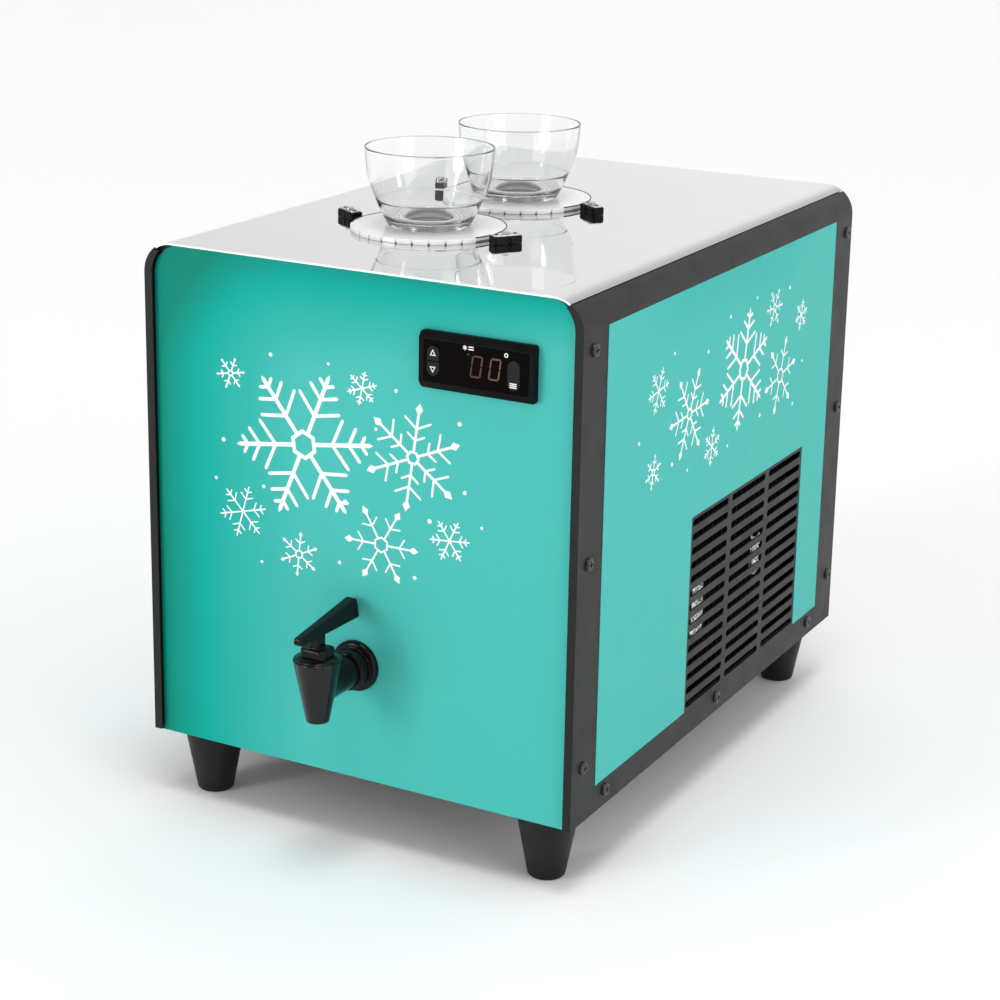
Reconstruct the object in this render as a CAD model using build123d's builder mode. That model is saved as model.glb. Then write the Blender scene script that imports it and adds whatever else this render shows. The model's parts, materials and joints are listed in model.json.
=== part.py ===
from build123d import *

import os
from math import cos, degrees, radians, sin

# A chilled spirit dispenser: a cabinet on four feet with two clear bottle cups on its steel top,
# a self-closing tap and a digital controller on the front, and the cooling circuit inside.
# Millimetres. +Z up, the front faces -Y, +X is the viewer's right. The origin is on the floor,
# in the middle of the outline.

# Cabinet
BODY_WIDTH = 308.0
BODY_DEPTH = 431.0
BODY_HEIGHT = 330.0
CORNER_RADIUS = 20.0
SHEET = 1.2
PANEL_SHEET = 1.5
SHEET_GAP = 0.3
FACE_RECESS = 4.0
LIP_WIDTH = 5.5
SIDE_BOTTOM_GAP = 1.5
WRAP_ANGLE = 54.0
TOP_SEAM = 0.8
JOGGLE_ANGLE = 8.0
TUCK_LENGTH = 14.0
TUCK_INSET = 26.0
PANEL_FLANGE = 20.0
BASE_FLANGE = 22.0

# Graphic films
FILM = 0.3
FRONT_FILM_MARGIN = 0.3
FILM_EDGE_GAP = 0.2
SIDE_FILM_MARGIN = 32.2
SIDE_FILM_BOTTOM = 19.6
SIDE_FILM_TOP = 20.4

# Side grille
GRILLE_COLUMNS = 3
GRILLE_ROWS = 14
GRILLE_COLUMN_PITCH = 64.0
GRILLE_ROW_PITCH = 9.7
SLOT_LENGTH = 58.0
SLOT_HEIGHT = 4.8
GRILLE_FROM_REAR = 172.0
GRILLE_HEIGHT = 87.0

# Rear vent
VENT_ROWS = 6
VENT_COLUMNS = 2
VENT_FROM_TOP = 68.0

# Screws
SCREW_RADIUS = 1.8
SCREW_LENGTH = 9.0
SCREW_HEAD_RADIUS = 4.2
SCREW_HEAD_HEIGHT = 1.9
SCREW_HEAD_ROUND = 1.4
SCREW_GAP = 0.15
RECESS_WIDTH = 1.1
RECESS_LENGTH = 4.4
RECESS_DEPTH = 0.9
SCREW_FROM_EDGE = 14.6
SCREW_FROM_REAR = 9.5
SCREW_FROM_BOTTOM = 38.0
SCREW_FROM_TOP = 32.0
SCREW_ROW_HEIGHT = 11.7
SCREW_ROW_FROM_END = 46.5
SCREW_ROW_SHIFT = 2.0

# Feet
FOOT_HEIGHT = 44.0
FOOT_TOP_RADIUS = 20.0
FOOT_BOTTOM_RADIUS = 12.0
FOOT_EDGE = 1.2
FOOT_BORE_DEPTH = 30.0
FOOT_BORE_RADIUS = 6.0
FOOT_FROM_SIDE = 29.0
FOOT_FROM_END = 27.0
FOOT_SCREW_RADIUS = 2.5
FOOT_SCREW_HEAD_RADIUS = 4.6
FOOT_SCREW_HEAD_HEIGHT = 3.2
FOOT_SCREW_GRIP = 8.0

# Bottle cups
CUP_OFFSET = -22.0
CUP_MIDDLE_SHARE = 187.5 / 431.0
CUP_SPACING = 121.0
GASKET = 1.0
GASKET_INSET = 1.5
SEAT_RADIUS = 50.0
SEAT_THICKNESS = 2.2
SEAT_EDGE = 0.7
CUP_HEIGHT = 50.8
CUP_BASE_RADIUS = 27.5
CUP_WAIST_RADIUS = 33.2
CUP_WAIST_HEIGHT = 13.0
CUP_SHOULDER_RADIUS = 38.0
CUP_SHOULDER_HEIGHT = 26.6
CUP_RIM_RADIUS = 41.4
CUP_LIP = 1.2
CUP_LIP_HEIGHT = 2.4
CUP_WALL = 2.2
CUP_FLOOR = 4.0
NECK_BORE = 16.0
NECK_WALL = 1.5
NECK_DROP = 30.0
NECK_FLANGE_RADIUS = 22.5
NECK_FLANGE = 1.5
NECK_GAP = 0.3
NECK_PANEL_GAP = 4.0

# Turning clamps
CLAMP_REACH = 62.5
CLAMP_SHIFTS = {"left": 4.0, "right": -12.0}
CLAMP_LENGTH = 20.5
CLAMP_WIDTH = 9.0
CLAMP_HEIGHT = 5.0
CLAMP_WAIST_RADIUS = 3.0
CLAMP_WAIST_DEPTH = 0.7
CLAMP_PLATE = 0.8
CLAMP_PLATE_MARGIN = 0.5
CLAMP_GAP = 0.3
CLAMP_EDGE = 0.6
CLAMP_ANGLES = {
    "front_left": -30.0,
    "front_right": 55.0,
    "rear_left": -62.0,
    "rear_right": -36.0,
}
CLAMP_SCREW_RADIUS = 1.7
CLAMP_SCREW_GAP = 0.08
CLAMP_HEAD_GAP = 0.1
CLAMP_SCREW_HEAD = 2.5
CLAMP_SCREW_HEAD_HEIGHT = 1.2

# Tap
TAP_HEIGHT = 76.5
TAP_REACH = 44.0
TAP_TOP_RADIUS = 15.3
TAP_SPOUT_RADIUS = 7.2
TAP_RISE = 19.8
TAP_DROP = 20.9
TAP_RIM_ROUND = 1.0
SPOUT_BORE = 4.8
VALVE_SEAT_DROP = 5.0
CHAMBER_RADIUS = 7.0
BONNET_RADIUS = 10.4
BONNET_DEPTH = 7.8
BONNET_GAP = 0.1
BONNET_CAP_RADIUS = 13.4
BONNET_TOP_RADIUS = 10.0
BONNET_RISE = 1.4
BONNET_SPRING_RADIUS = 5.2
BONNET_ROOF = 3.4
ARM_RADIUS = 10.5
ARM_BORE = 4.5
SHANK_RADIUS = 8.0
SHANK_LENGTH = 20.0
SHANK_GAP = 0.2
TAIL_RADIUS = 6.0
TAIL_LENGTH = 14.0
ESCUTCHEON_RADIUS = 16.5
ESCUTCHEON_THICKNESS = 4.0
ESCUTCHEON_COLLAR_RADIUS = 12.8
ESCUTCHEON_LENGTH = 13.0
ESCUTCHEON_EDGE = 2.4
ESCUTCHEON_CHAMFER = 1.2
LOCK_NUT_FLATS = 24.0
LOCK_NUT_HEIGHT = 8.0
THREAD_GAP = 0.05

# Tap lever and valve
LEVER_TIP_REACH = 66.0
LEVER_WALL_GAP = 4.4
LEVER_UNDERSIDE = 34.3
LEVER_TIP_WIDTH = 7.6
LEVER_TIP_RIDGE = 5.6
LEVER_TIP_HEIGHT = 5.0
LEVER_TAIL_WIDTH = 12.0
LEVER_TAIL_RIDGE = 8.0
LEVER_TAIL_HEIGHT = 12.6
LEVER_EDGE = 1.7
LEVER_FOOT_WIDTH = 18.0
LEVER_FOOT_LENGTH = 15.0
LEVER_FOOT_HEIGHT = 5.5
LEVER_FOOT_ROUND = 3.5
LEVER_FOOT_EDGE = 1.6
LEVER_FOOT_GAP = 0.3
LEVER_NECK_WIDTH = 7.0
LEVER_NECK_LENGTH = 9.0
LEVER_SLOT_WIDTH = 5.6
LEVER_SLOT_LENGTH = 9.2
LEVER_SLOT_ROOF = 0.9
PIN_RADIUS = 1.2
PIN_LENGTH = 17.0
PIN_HEIGHT = 2.0
STEM_RADIUS = 2.5
STEM_OVER_PIN = 2.0
PLUG_RADIUS = 6.2
PLUG_TIP_RADIUS = 5.4
PLUG_HEIGHT = 8.0
PLUG_SOCKET = 5.0
RUNNING_GAP = 0.05
SPRING_RADIUS = 3.7
SPRING_WIRE = 0.45
SPRING_TURNS = 4

# Controller
CONTROLLER_FROM_SIDE = 68.8
CONTROLLER_FROM_TOP = 48.3
BEZEL_WIDTH = 77.0
BEZEL_HEIGHT = 35.0
BEZEL_DEPTH = 5.5
BEZEL_CORNER = 2.0
BEZEL_BEVEL = 2.4
BEZEL_BEVEL_HEIGHT = 4.2
CASE_WIDTH = 71.0
CASE_HEIGHT = 29.0
CASE_DEPTH = 58.0
CASE_WALL = 1.6
CASE_GAP = 0.4
WINDOW_WIDTH = 70.0
WINDOW_HEIGHT = 25.4
WINDOW_THICKNESS = 1.6
WINDOW_INSET = 0.3
WINDOW_GAP = 0.15
KEY_LENGTH = 18.0
KEY_WIDTH = 8.2
KEY_GAP = 0.25
KEY_PROUD = 0.9
KEY_SPLIT = 0.7
KEY_FLANGE = 0.8
KEY_FLANGE_THICKNESS = 0.8
KEY_SEAT_GAP = 0.1
ARROW_KEYS_OFFSET = -28.6
SET_KEY_OFFSET = 25.2
SET_KEY_DROP = 1.6

# Tank, insulation and evaporator
TANK_END_ROOM = 39.0
TANK_SCREW_GAP = 1.8
TANK_HEIGHT = 112.0
TANK_SHEET = 1.0
TANK_CORNER = 14.0
TANK_FLANGE = 9.0
INSULATION = 15.0
INSULATION_GAP = 0.3
COIL_TUBE_RADIUS = 3.0
COIL_TUBE_WALL = 0.7
COIL_RUNS = 5
COIL_PITCH = 18.0
COIL_FROM_BACK = 24.0
COIL_GAP = 0.3
COIL_FROM_FRONT = 37.0
OUTLET_FROM_FRONT = 14.0
SPIGOT_LENGTH = 20.0
SPIGOT_BORE = 4.5
HOSE_WALL = 2.0
HOSE_BEND = 30.0
PROBE_RADIUS = 3.0
PROBE_LENGTH = 40.0
PROBE_DROP = 20.0

# Compressor
COMPRESSOR_LEFT_SHARE = 21.5 / 57.5
COMPRESSOR_LENGTH = 136.0
COMPRESSOR_WIDTH = 104.0
COMPRESSOR_HEIGHT = 132.0
COMPRESSOR_ROUND = 22.0
COMPRESSOR_REAR_GAP = 13.0
COMPRESSOR_PLATE = 2.5
COMPRESSOR_FOOT_SPACING = (100.0, 76.0)
COMPRESSOR_PLATE_MARGIN = 12.0
MOUNT_RADIUS = 9.0
MOUNT_HEIGHT = 12.0
PORT_HEIGHT = 95.0
PORT_OFFSET = 14.0
PORT_LENGTH = 12.0
PORT_RADIUS = 4.2
RELAY_WIDTH = 46.0
RELAY_HEIGHT = 56.0
RELAY_DEPTH = 20.0
RELAY_STAND = 8.0
RELAY_LEVEL = 62.0

# Condenser and fan
CONDENSER_WALL_GAP = 9.0
CONDENSER_THICKNESS = 36.0
CONDENSER_LENGTH = 184.0
CONDENSER_HEIGHT = 134.0
CONDENSER_CLEARANCE = 12.0
FIN = 0.6
FIN_PITCH = 8.0
END_PLATE = 1.5
CONDENSER_PASSES = 6
CONDENSER_PASS_PITCH = 21.0
FAN_SIZE = 120.0
FAN_DEPTH = 25.0
FAN_BORE = 57.5
FAN_TIP_GAP = 1.5
FAN_HUB_RADIUS = 19.5
FAN_HUB_DEPTH = 16.0
FAN_BLADES = 7
FAN_BLADE_CHORD = 22.0
FAN_BLADE_THICKNESS = 1.8
FAN_BLADE_PITCH = 50.0
FAN_STRUTS = 4
FAN_STRUT_WIDTH = 6.0
FAN_MOTOR_DEPTH = 4.0
FAN_SHAFT_RADIUS = 2.0
FAN_CORNER = 5.0
SHROUD_GAP = 0.3

# Refrigerant lines
LINE_RADIUS = 3.0
CAPILLARY_RADIUS = 1.4
LINE_BEND = 9.0
LINE_REACH = 24.0
DRIER_RADIUS = 9.0
DRIER_LENGTH = 70.0
DRIER_TAPER = 10.0
DRIER_FROM_CONDENSER = 31.0
BRAZE_GAP = 0.2

# Rear fittings
INLET_FROM_SIDE = 58.0
INLET_HEIGHT = 48.0
INLET_WIDTH = 31.0
INLET_FACE = 25.0
INLET_BODY = (27.0, 20.0)
INLET_FLANGE = 2.0
INLET_DEPTH = 16.0
INLET_WALL = 1.6
INLET_CORNER = 3.0
INLET_PIN = (2.0, 4.0, 12.0)
INLET_PIN_SPACING = 7.0
INLET_EARTH_RISE = 4.0
SWITCH_RISE = 34.0
SWITCH_FACE = (15.0, 21.0)
SWITCH_BODY = (13.0, 19.2)
SWITCH_FLANGE = 1.6
SWITCH_DEPTH = 16.0
SWITCH_WALL = 1.3
ROCKER_GAP = 0.4
ROCKER_TILT = 7.0
ROCKER_PROUD = 2.6
ROCKER_HEIGHT = 8.0
TRUNNION_RADIUS = 1.0
TRUNNION_LENGTH = 0.8
CUTOUT_GAP = 0.2

# Landmarks worked out from the sizes above
half_width = BODY_WIDTH / 2
overall_depth = BODY_DEPTH - FACE_RECESS + FILM + LEVER_TIP_REACH
rim_rear = overall_depth / 2
rim_front = rim_rear - BODY_DEPTH
plate_front = rim_front + FACE_RECESS
plate_back = plate_front + PANEL_SHEET
film_face = plate_front - FILM
rear_face = rim_rear - FACE_RECESS
rear_inside = rear_face - PANEL_SHEET
body_bottom = FOOT_HEIGHT
body_top = FOOT_HEIGHT + BODY_HEIGHT
floor_top = body_bottom + PANEL_SHEET
side_bottom = body_bottom + SIDE_BOTTOM_GAP
corner_x = half_width - CORNER_RADIUS
corner_z = body_top - CORNER_RADIUS
plate_half = half_width - SHEET - SHEET_GAP
plate_top = body_top - SHEET - SHEET_GAP
tap_z = body_bottom + TAP_HEIGHT
tap_y = film_face - TAP_REACH
controller_x = half_width - CONTROLLER_FROM_SIDE
controller_z = body_top - CONTROLLER_FROM_TOP
tank_y = rim_front + BODY_DEPTH * CUP_MIDDLE_SHARE
cup_rows = {
    "front": tank_y - CUP_SPACING / 2,
    "rear": tank_y + CUP_SPACING / 2,
}
tank_length = CUP_SPACING + 2 * TANK_END_ROOM
tank_width = 2 * (CLAMP_REACH - CLAMP_SCREW_RADIUS - TANK_SCREW_GAP - TANK_FLANGE)
tank_top = body_top - SHEET - SHEET_GAP
foam_top = tank_top - TANK_SHEET - INSULATION_GAP
grille_y = rim_rear - GRILLE_FROM_REAR


def front_plane(y):
    """A sketch plane facing the viewer: local x is X, local y is Z."""
    return Plane(origin=(0, y, 0), x_dir=(1, 0, 0), z_dir=(0, -1, 0))


def side_plane(x):
    """A sketch plane facing the viewer's right: local x is Y, local y is Z."""
    return Plane(origin=(x, 0, 0), x_dir=(0, 1, 0), z_dir=(1, 0, 0))


def level(z):
    """A horizontal sketch plane."""
    return Plane.XY.offset(z)


def standing(x, y):
    """A vertical sketch plane through an upright axis, for turned shapes."""
    return Plane(origin=(x, y, 0), x_dir=(1, 0, 0), z_dir=(0, -1, 0))


def upright(x, y):
    """The upright axis through a point on the floor."""
    return Axis((x, y, 0), (0, 0, 1))


def save(piece, name):
    piece.label = name
    export_step(piece, f"parts/{name}.step")


def tube_along(points, bend, radius, bore=0):
    """A round tube or rod on straight runs joined by arcs."""
    with BuildPart() as tube:
        with BuildLine() as route:
            FilletPolyline(*points, radius=bend)
        with BuildSketch(Plane(origin=route.line @ 0, z_dir=route.line % 0)):
            Circle(radius)
            if bore:
                Circle(bore, mode=Mode.SUBTRACT)
        sweep()
    return tube.part


os.makedirs("parts", exist_ok=True)

# Side screws: three at each end of a side panel, three along its bottom
screw_low = body_bottom + SCREW_FROM_BOTTOM
screw_high = body_top - SCREW_FROM_TOP
screw_row_front = rim_front + SCREW_ROW_FROM_END
screw_row_rear = rim_rear - SCREW_ROW_FROM_END
screw_row_middle = (screw_row_front + screw_row_rear) / 2 + SCREW_ROW_SHIFT
side_screw_spots = [
    (y, z)
    for y in (rim_front + SCREW_FROM_EDGE, rim_rear - SCREW_FROM_REAR)
    for z in (screw_low, (screw_low + screw_high) / 2, screw_high)
]
side_screw_spots += [
    (y, body_bottom + SCREW_ROW_HEIGHT)
    for y in (screw_row_front, screw_row_middle, screw_row_rear)
]
screw_hole = SCREW_RADIUS + SCREW_GAP

# Right side panel: an upright sheet that wraps into the top, with a lip at each end
tuck_outer = CORNER_RADIUS - SHEET - SHEET_GAP
tuck_inner = tuck_outer - SHEET
lip_angle = WRAP_ANGLE - JOGGLE_ANGLE
with BuildPart() as right_side_panel:
    with BuildSketch(front_plane(rim_front)):
        with BuildLine():
            outer = CenterArc((corner_x, corner_z), CORNER_RADIUS, 0, WRAP_ANGLE)
            inner = CenterArc((corner_x, corner_z), CORNER_RADIUS - SHEET, 0, WRAP_ANGLE)
            Line(outer @ 1, inner @ 1)
            Polyline(
                outer @ 0, (half_width, side_bottom), (half_width - SHEET, side_bottom), inner @ 0
            )
        make_face()
    extrude(amount=-BODY_DEPTH)
    with BuildSketch(front_plane(rim_front + TUCK_INSET)):
        with BuildLine():
            step = CenterArc(
                (corner_x, corner_z), CORNER_RADIUS - SHEET / 2, lip_angle, JOGGLE_ANGLE
            )
            over = CenterArc((corner_x, corner_z), tuck_outer, WRAP_ANGLE, 90 - WRAP_ANGLE)
            under = CenterArc((corner_x, corner_z), tuck_inner, lip_angle, 90 - lip_angle)
            Line(step @ 0, under @ 0)
            Line(step @ 1, over @ 0)
            Polyline(
                over @ 1,
                (corner_x - TUCK_LENGTH, corner_z + tuck_outer),
                (corner_x - TUCK_LENGTH, corner_z + tuck_inner),
                under @ 1,
            )
        make_face()
    extrude(amount=2 * TUCK_INSET - BODY_DEPTH)
    for lip_y in (rim_front, rim_rear - SHEET):
        with BuildSketch(front_plane(lip_y)):
            with BuildLine():
                outer = CenterArc((corner_x, corner_z), CORNER_RADIUS, 0, lip_angle)
                inner = CenterArc((corner_x - LIP_WIDTH, corner_z), CORNER_RADIUS, 0, lip_angle)
                Line(outer @ 1, inner @ 1)
                Polyline(
                    outer @ 0,
                    (half_width, side_bottom),
                    (half_width - LIP_WIDTH, side_bottom),
                    inner @ 0,
                )
            make_face()
        extrude(amount=-SHEET)
    with BuildSketch(side_plane(half_width)):
        with Locations((grille_y, body_bottom + GRILLE_HEIGHT)):
            with GridLocations(GRILLE_COLUMN_PITCH, GRILLE_ROW_PITCH, GRILLE_COLUMNS, GRILLE_ROWS):
                SlotOverall(SLOT_LENGTH, SLOT_HEIGHT)
        with Locations(*side_screw_spots):
            Circle(screw_hole)
    extrude(amount=-SHEET, mode=Mode.SUBTRACT)
save(right_side_panel.part, "right_side_panel")

with BuildPart() as left_side_panel:
    mirror(right_side_panel.part, about=Plane.YZ)
save(left_side_panel.part, "left_side_panel")

# Side films, notched round the grille
grille_length = (GRILLE_COLUMNS - 1) * GRILLE_COLUMN_PITCH + SLOT_LENGTH + SLOT_HEIGHT
grille_rise = (GRILLE_ROWS - 1) * GRILLE_ROW_PITCH + SLOT_HEIGHT + SLOT_HEIGHT
grille_bottom = body_bottom + GRILLE_HEIGHT - grille_rise / 2
with BuildPart() as right_graphic:
    with BuildSketch(side_plane(half_width)):
        film_low = body_bottom + SIDE_FILM_BOTTOM
        film_high = body_top - SIDE_FILM_TOP
        with Locations((rim_front + BODY_DEPTH / 2, (film_low + film_high) / 2)):
            Rectangle(BODY_DEPTH - 2 * SIDE_FILM_MARGIN, film_high - film_low)
        notch_rise = grille_bottom + grille_rise - body_bottom
        with Locations((grille_y, body_bottom + notch_rise / 2)):
            Rectangle(grille_length, notch_rise, mode=Mode.SUBTRACT)
    extrude(amount=FILM)
save(right_graphic.part, "right_graphic")

with BuildPart() as left_graphic:
    mirror(right_graphic.part, about=Plane.YZ)
save(left_graphic.part, "left_graphic")

# Cross-recessed screws through the side panels
with BuildPart() as side_panel_screws:
    for side in (1, -1):
        with BuildSketch(side_plane(side * half_width)):
            with Locations(*side_screw_spots):
                Circle(SCREW_HEAD_RADIUS)
        extrude(amount=side * SCREW_HEAD_HEIGHT)
        with BuildSketch(side_plane(side * half_width)):
            with Locations(*side_screw_spots):
                Circle(SCREW_RADIUS)
        extrude(amount=-side * SCREW_LENGTH)
        with BuildSketch(side_plane(side * (half_width + SCREW_HEAD_HEIGHT))):
            with Locations(*side_screw_spots):
                Rectangle(RECESS_LENGTH, RECESS_WIDTH)
                Rectangle(RECESS_WIDTH, RECESS_LENGTH)
        extrude(amount=-side * RECESS_DEPTH, mode=Mode.SUBTRACT)
    head_rims = side_panel_screws.edges().filter_by(GeomType.CIRCLE).group_by(Axis.X)
    fillet(head_rims[0] + head_rims[-1], SCREW_HEAD_ROUND)
save(side_panel_screws.part, "side_panel_screws")


def panel_outline(plane):
    """The outline that the front and rear panels share: square below, rounded above."""
    with BuildSketch(plane) as outline:
        with BuildLine():
            right = CenterArc((corner_x, corner_z), plate_top - corner_z, 0, 90)
            left = CenterArc((-corner_x, corner_z), plate_top - corner_z, 90, 90)
            Line(right @ 1, left @ 0)
            Polyline(
                left @ 1, (-plate_half, body_bottom), (plate_half, body_bottom), right @ 0
            )
        make_face()
    return outline.sketch


def panel_flanges(y):
    """The two upright return flanges of the front or rear panel, sketched at y."""
    bottom = body_bottom + BASE_FLANGE + SHEET_GAP
    with BuildSketch(front_plane(y)) as flanges:
        with Locations((0, (bottom + corner_z) / 2)):
            with GridLocations(2 * plate_half - PANEL_SHEET, 0, 2, 1):
                Rectangle(PANEL_SHEET, corner_z - bottom)
    return flanges.sketch


def side_holes():
    """The screw holes seen from the side, for cutting right across the cabinet."""
    with BuildSketch(side_plane(-half_width)) as holes:
        with Locations(*side_screw_spots):
            Circle(screw_hole)
    return holes.sketch


def front_openings(y, grow=0):
    """The controller opening and the tap hole, sketched at y."""
    with BuildSketch(front_plane(y)) as openings:
        with Locations((controller_x, controller_z)):
            Rectangle(CASE_WIDTH + CASE_GAP + grow, CASE_HEIGHT + CASE_GAP + grow)
        with Locations((0, tap_z)):
            Circle(SHANK_RADIUS + SHANK_GAP + grow)
    return openings.sketch


with BuildPart() as front_panel:
    extrude(panel_outline(front_plane(plate_front)), amount=-PANEL_SHEET)
    extrude(panel_flanges(plate_back), amount=-PANEL_FLANGE)
    extrude(front_openings(plate_front), amount=-PANEL_SHEET, mode=Mode.SUBTRACT)
    extrude(side_holes(), amount=BODY_WIDTH, mode=Mode.SUBTRACT)
save(front_panel.part, "front_panel")

# Front film, the visible face between the lips
film_half = half_width - LIP_WIDTH + FRONT_FILM_MARGIN
film_top = plate_top - FILM_EDGE_GAP
with BuildPart() as front_graphic:
    with BuildSketch(front_plane(film_face)):
        with BuildLine():
            film_corner = film_top - CORNER_RADIUS
            right = CenterArc((film_half - CORNER_RADIUS, film_corner), CORNER_RADIUS, 0, 90)
            left = CenterArc((CORNER_RADIUS - film_half, film_corner), CORNER_RADIUS, 90, 90)
            Line(right @ 1, left @ 0)
            Polyline(
                left @ 1,
                (-film_half, body_bottom + FILM_EDGE_GAP),
                (film_half, body_bottom + FILM_EDGE_GAP),
                right @ 0,
            )
        make_face()
    extrude(amount=-FILM)
    extrude(front_openings(film_face, FILM), amount=-FILM, mode=Mode.SUBTRACT)
save(front_graphic.part, "front_graphic")

# Rear panel, with the inlet and switch openings and a vent
inlet_x = half_width - INLET_FROM_SIDE
inlet_spot = (inlet_x, body_bottom + INLET_HEIGHT)
switch_spot = (inlet_x, body_bottom + INLET_HEIGHT + SWITCH_RISE)
with BuildPart() as rear_panel:
    extrude(panel_outline(front_plane(rear_inside)), amount=-PANEL_SHEET)
    extrude(panel_flanges(rear_inside), amount=PANEL_FLANGE)
    with BuildSketch(front_plane(rear_inside)):
        with Locations(inlet_spot):
            Rectangle(INLET_BODY[0] + CUTOUT_GAP, INLET_BODY[1] + CUTOUT_GAP)
        with Locations(switch_spot):
            Rectangle(SWITCH_BODY[0] + CUTOUT_GAP, SWITCH_BODY[1] + CUTOUT_GAP)
        with Locations((0, body_top - VENT_FROM_TOP)):
            with GridLocations(GRILLE_COLUMN_PITCH, GRILLE_ROW_PITCH, VENT_COLUMNS, VENT_ROWS):
                SlotOverall(SLOT_LENGTH, SLOT_HEIGHT)
    extrude(amount=-PANEL_SHEET, mode=Mode.SUBTRACT)
    extrude(side_holes(), amount=BODY_WIDTH, mode=Mode.SUBTRACT)
save(rear_panel.part, "rear_panel")

# Base pan between the front and rear panels, and the feet under it
pan_front = plate_back + SHEET_GAP
pan_rear = rear_inside - SHEET_GAP
pan_y = (pan_front + pan_rear) / 2
foot_spots = {
    "front_left": (FOOT_FROM_SIDE - half_width, rim_front + FOOT_FROM_END),
    "front_right": (half_width - FOOT_FROM_SIDE, rim_front + FOOT_FROM_END),
    "rear_left": (FOOT_FROM_SIDE - half_width, rim_rear - FOOT_FROM_END),
    "rear_right": (half_width - FOOT_FROM_SIDE, rim_rear - FOOT_FROM_END),
}
with BuildPart() as base_pan:
    with BuildSketch(level(body_bottom)):
        with Locations((0, pan_y)):
            Rectangle(2 * plate_half, pan_rear - pan_front)
    extrude(amount=BASE_FLANGE)
    with BuildSketch(level(floor_top)):
        with Locations((0, pan_y)):
            Rectangle(2 * (plate_half - PANEL_SHEET), pan_rear - pan_front - 2 * PANEL_SHEET)
    extrude(amount=BASE_FLANGE, mode=Mode.SUBTRACT)
    extrude(side_holes(), amount=BODY_WIDTH, mode=Mode.SUBTRACT)
    with BuildSketch(level(body_bottom)):
        with Locations(*foot_spots.values()):
            Circle(FOOT_SCREW_RADIUS + SCREW_GAP)
    extrude(amount=PANEL_SHEET, mode=Mode.SUBTRACT)
save(base_pan.part, "base_pan")

for place, (x, y) in foot_spots.items():
    with BuildPart() as foot:
        with BuildSketch(standing(x, y)):
            with BuildLine():
                Polyline(
                    (FOOT_SCREW_RADIUS + SCREW_GAP, FOOT_BORE_DEPTH),
                    (FOOT_BORE_RADIUS, FOOT_BORE_DEPTH),
                    (FOOT_BORE_RADIUS, 0),
                    (FOOT_BOTTOM_RADIUS - FOOT_EDGE, 0),
                    (FOOT_BOTTOM_RADIUS, FOOT_EDGE),
                    (FOOT_TOP_RADIUS, FOOT_HEIGHT),
                    (FOOT_SCREW_RADIUS + SCREW_GAP, FOOT_HEIGHT),
                    close=True,
                )
            make_face()
        revolve(axis=upright(x, y))
    save(foot.part, f"foot_{place}")

with BuildPart() as foot_screws:
    with BuildSketch(level(FOOT_BORE_DEPTH - FOOT_SCREW_HEAD_HEIGHT)):
        with Locations(*foot_spots.values()):
            RegularPolygon(FOOT_SCREW_HEAD_RADIUS, 6)
    extrude(amount=FOOT_SCREW_HEAD_HEIGHT)
    with BuildSketch(level(FOOT_BORE_DEPTH)):
        with Locations(*foot_spots.values()):
            Circle(FOOT_SCREW_RADIUS)
    extrude(amount=floor_top + FOOT_SCREW_GRIP - FOOT_BORE_DEPTH)
save(foot_screws.part, "foot_screws")

# Polished top, rolled down to the seam along both long edges
top_start = WRAP_ANGLE + degrees(TOP_SEAM / CORNER_RADIUS)
cup_spots = [(CUP_OFFSET, y) for y in cup_rows.values()]
neck_outer = NECK_BORE + NECK_WALL
neck_hole = neck_outer + NECK_GAP
clamp_spots = {
    f"{row}_{name}": (
        CUP_OFFSET + side * CLAMP_REACH,
        y + CLAMP_SHIFTS[name],
        CLAMP_ANGLES[f"{row}_{name}"],
    )
    for row, y in cup_rows.items()
    for name, side in (("left", -1), ("right", 1))
}
with BuildPart() as top_panel:
    with BuildSketch(front_plane(rim_front)):
        with BuildLine():
            sweep_angle = 90 - top_start
            right = CenterArc((corner_x, corner_z), CORNER_RADIUS, top_start, sweep_angle)
            right_under = CenterArc(
                (corner_x, corner_z), CORNER_RADIUS - SHEET, top_start, sweep_angle
            )
            left = CenterArc((-corner_x, corner_z), CORNER_RADIUS, 90, sweep_angle)
            left_under = CenterArc((-corner_x, corner_z), CORNER_RADIUS - SHEET, 90, sweep_angle)
            Line(right @ 0, right_under @ 0)
            Line(right @ 1, left @ 0)
            Line(left @ 1, left_under @ 1)
            Line(left_under @ 0, right_under @ 1)
        make_face()
    extrude(amount=-BODY_DEPTH)
    with BuildSketch(level(body_top)):
        with Locations(*cup_spots):
            Circle(neck_outer + NECK_PANEL_GAP)
        with Locations(*[(x, y) for x, y, _ in clamp_spots.values()]):
            Circle(CLAMP_SCREW_RADIUS + SCREW_GAP)
    extrude(amount=-SHEET, mode=Mode.SUBTRACT)
save(top_panel.part, "top_panel")

# Bottle seats: gasket, white ring, clear cup and the steel sleeve for the bottle's neck
ring_bottom = body_top + GASKET
cup_bottom = ring_bottom + SEAT_THICKNESS
cup_floor = cup_bottom + CUP_FLOOR
cup_top = cup_bottom + CUP_HEIGHT

with BuildPart() as cup_gaskets:
    with BuildSketch(level(body_top)):
        with Locations(*cup_spots):
            Circle(SEAT_RADIUS - GASKET_INSET)
            Circle(neck_outer + NECK_PANEL_GAP, mode=Mode.SUBTRACT)
    extrude(amount=GASKET)
save(cup_gaskets.part, "cup_gaskets")

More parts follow.
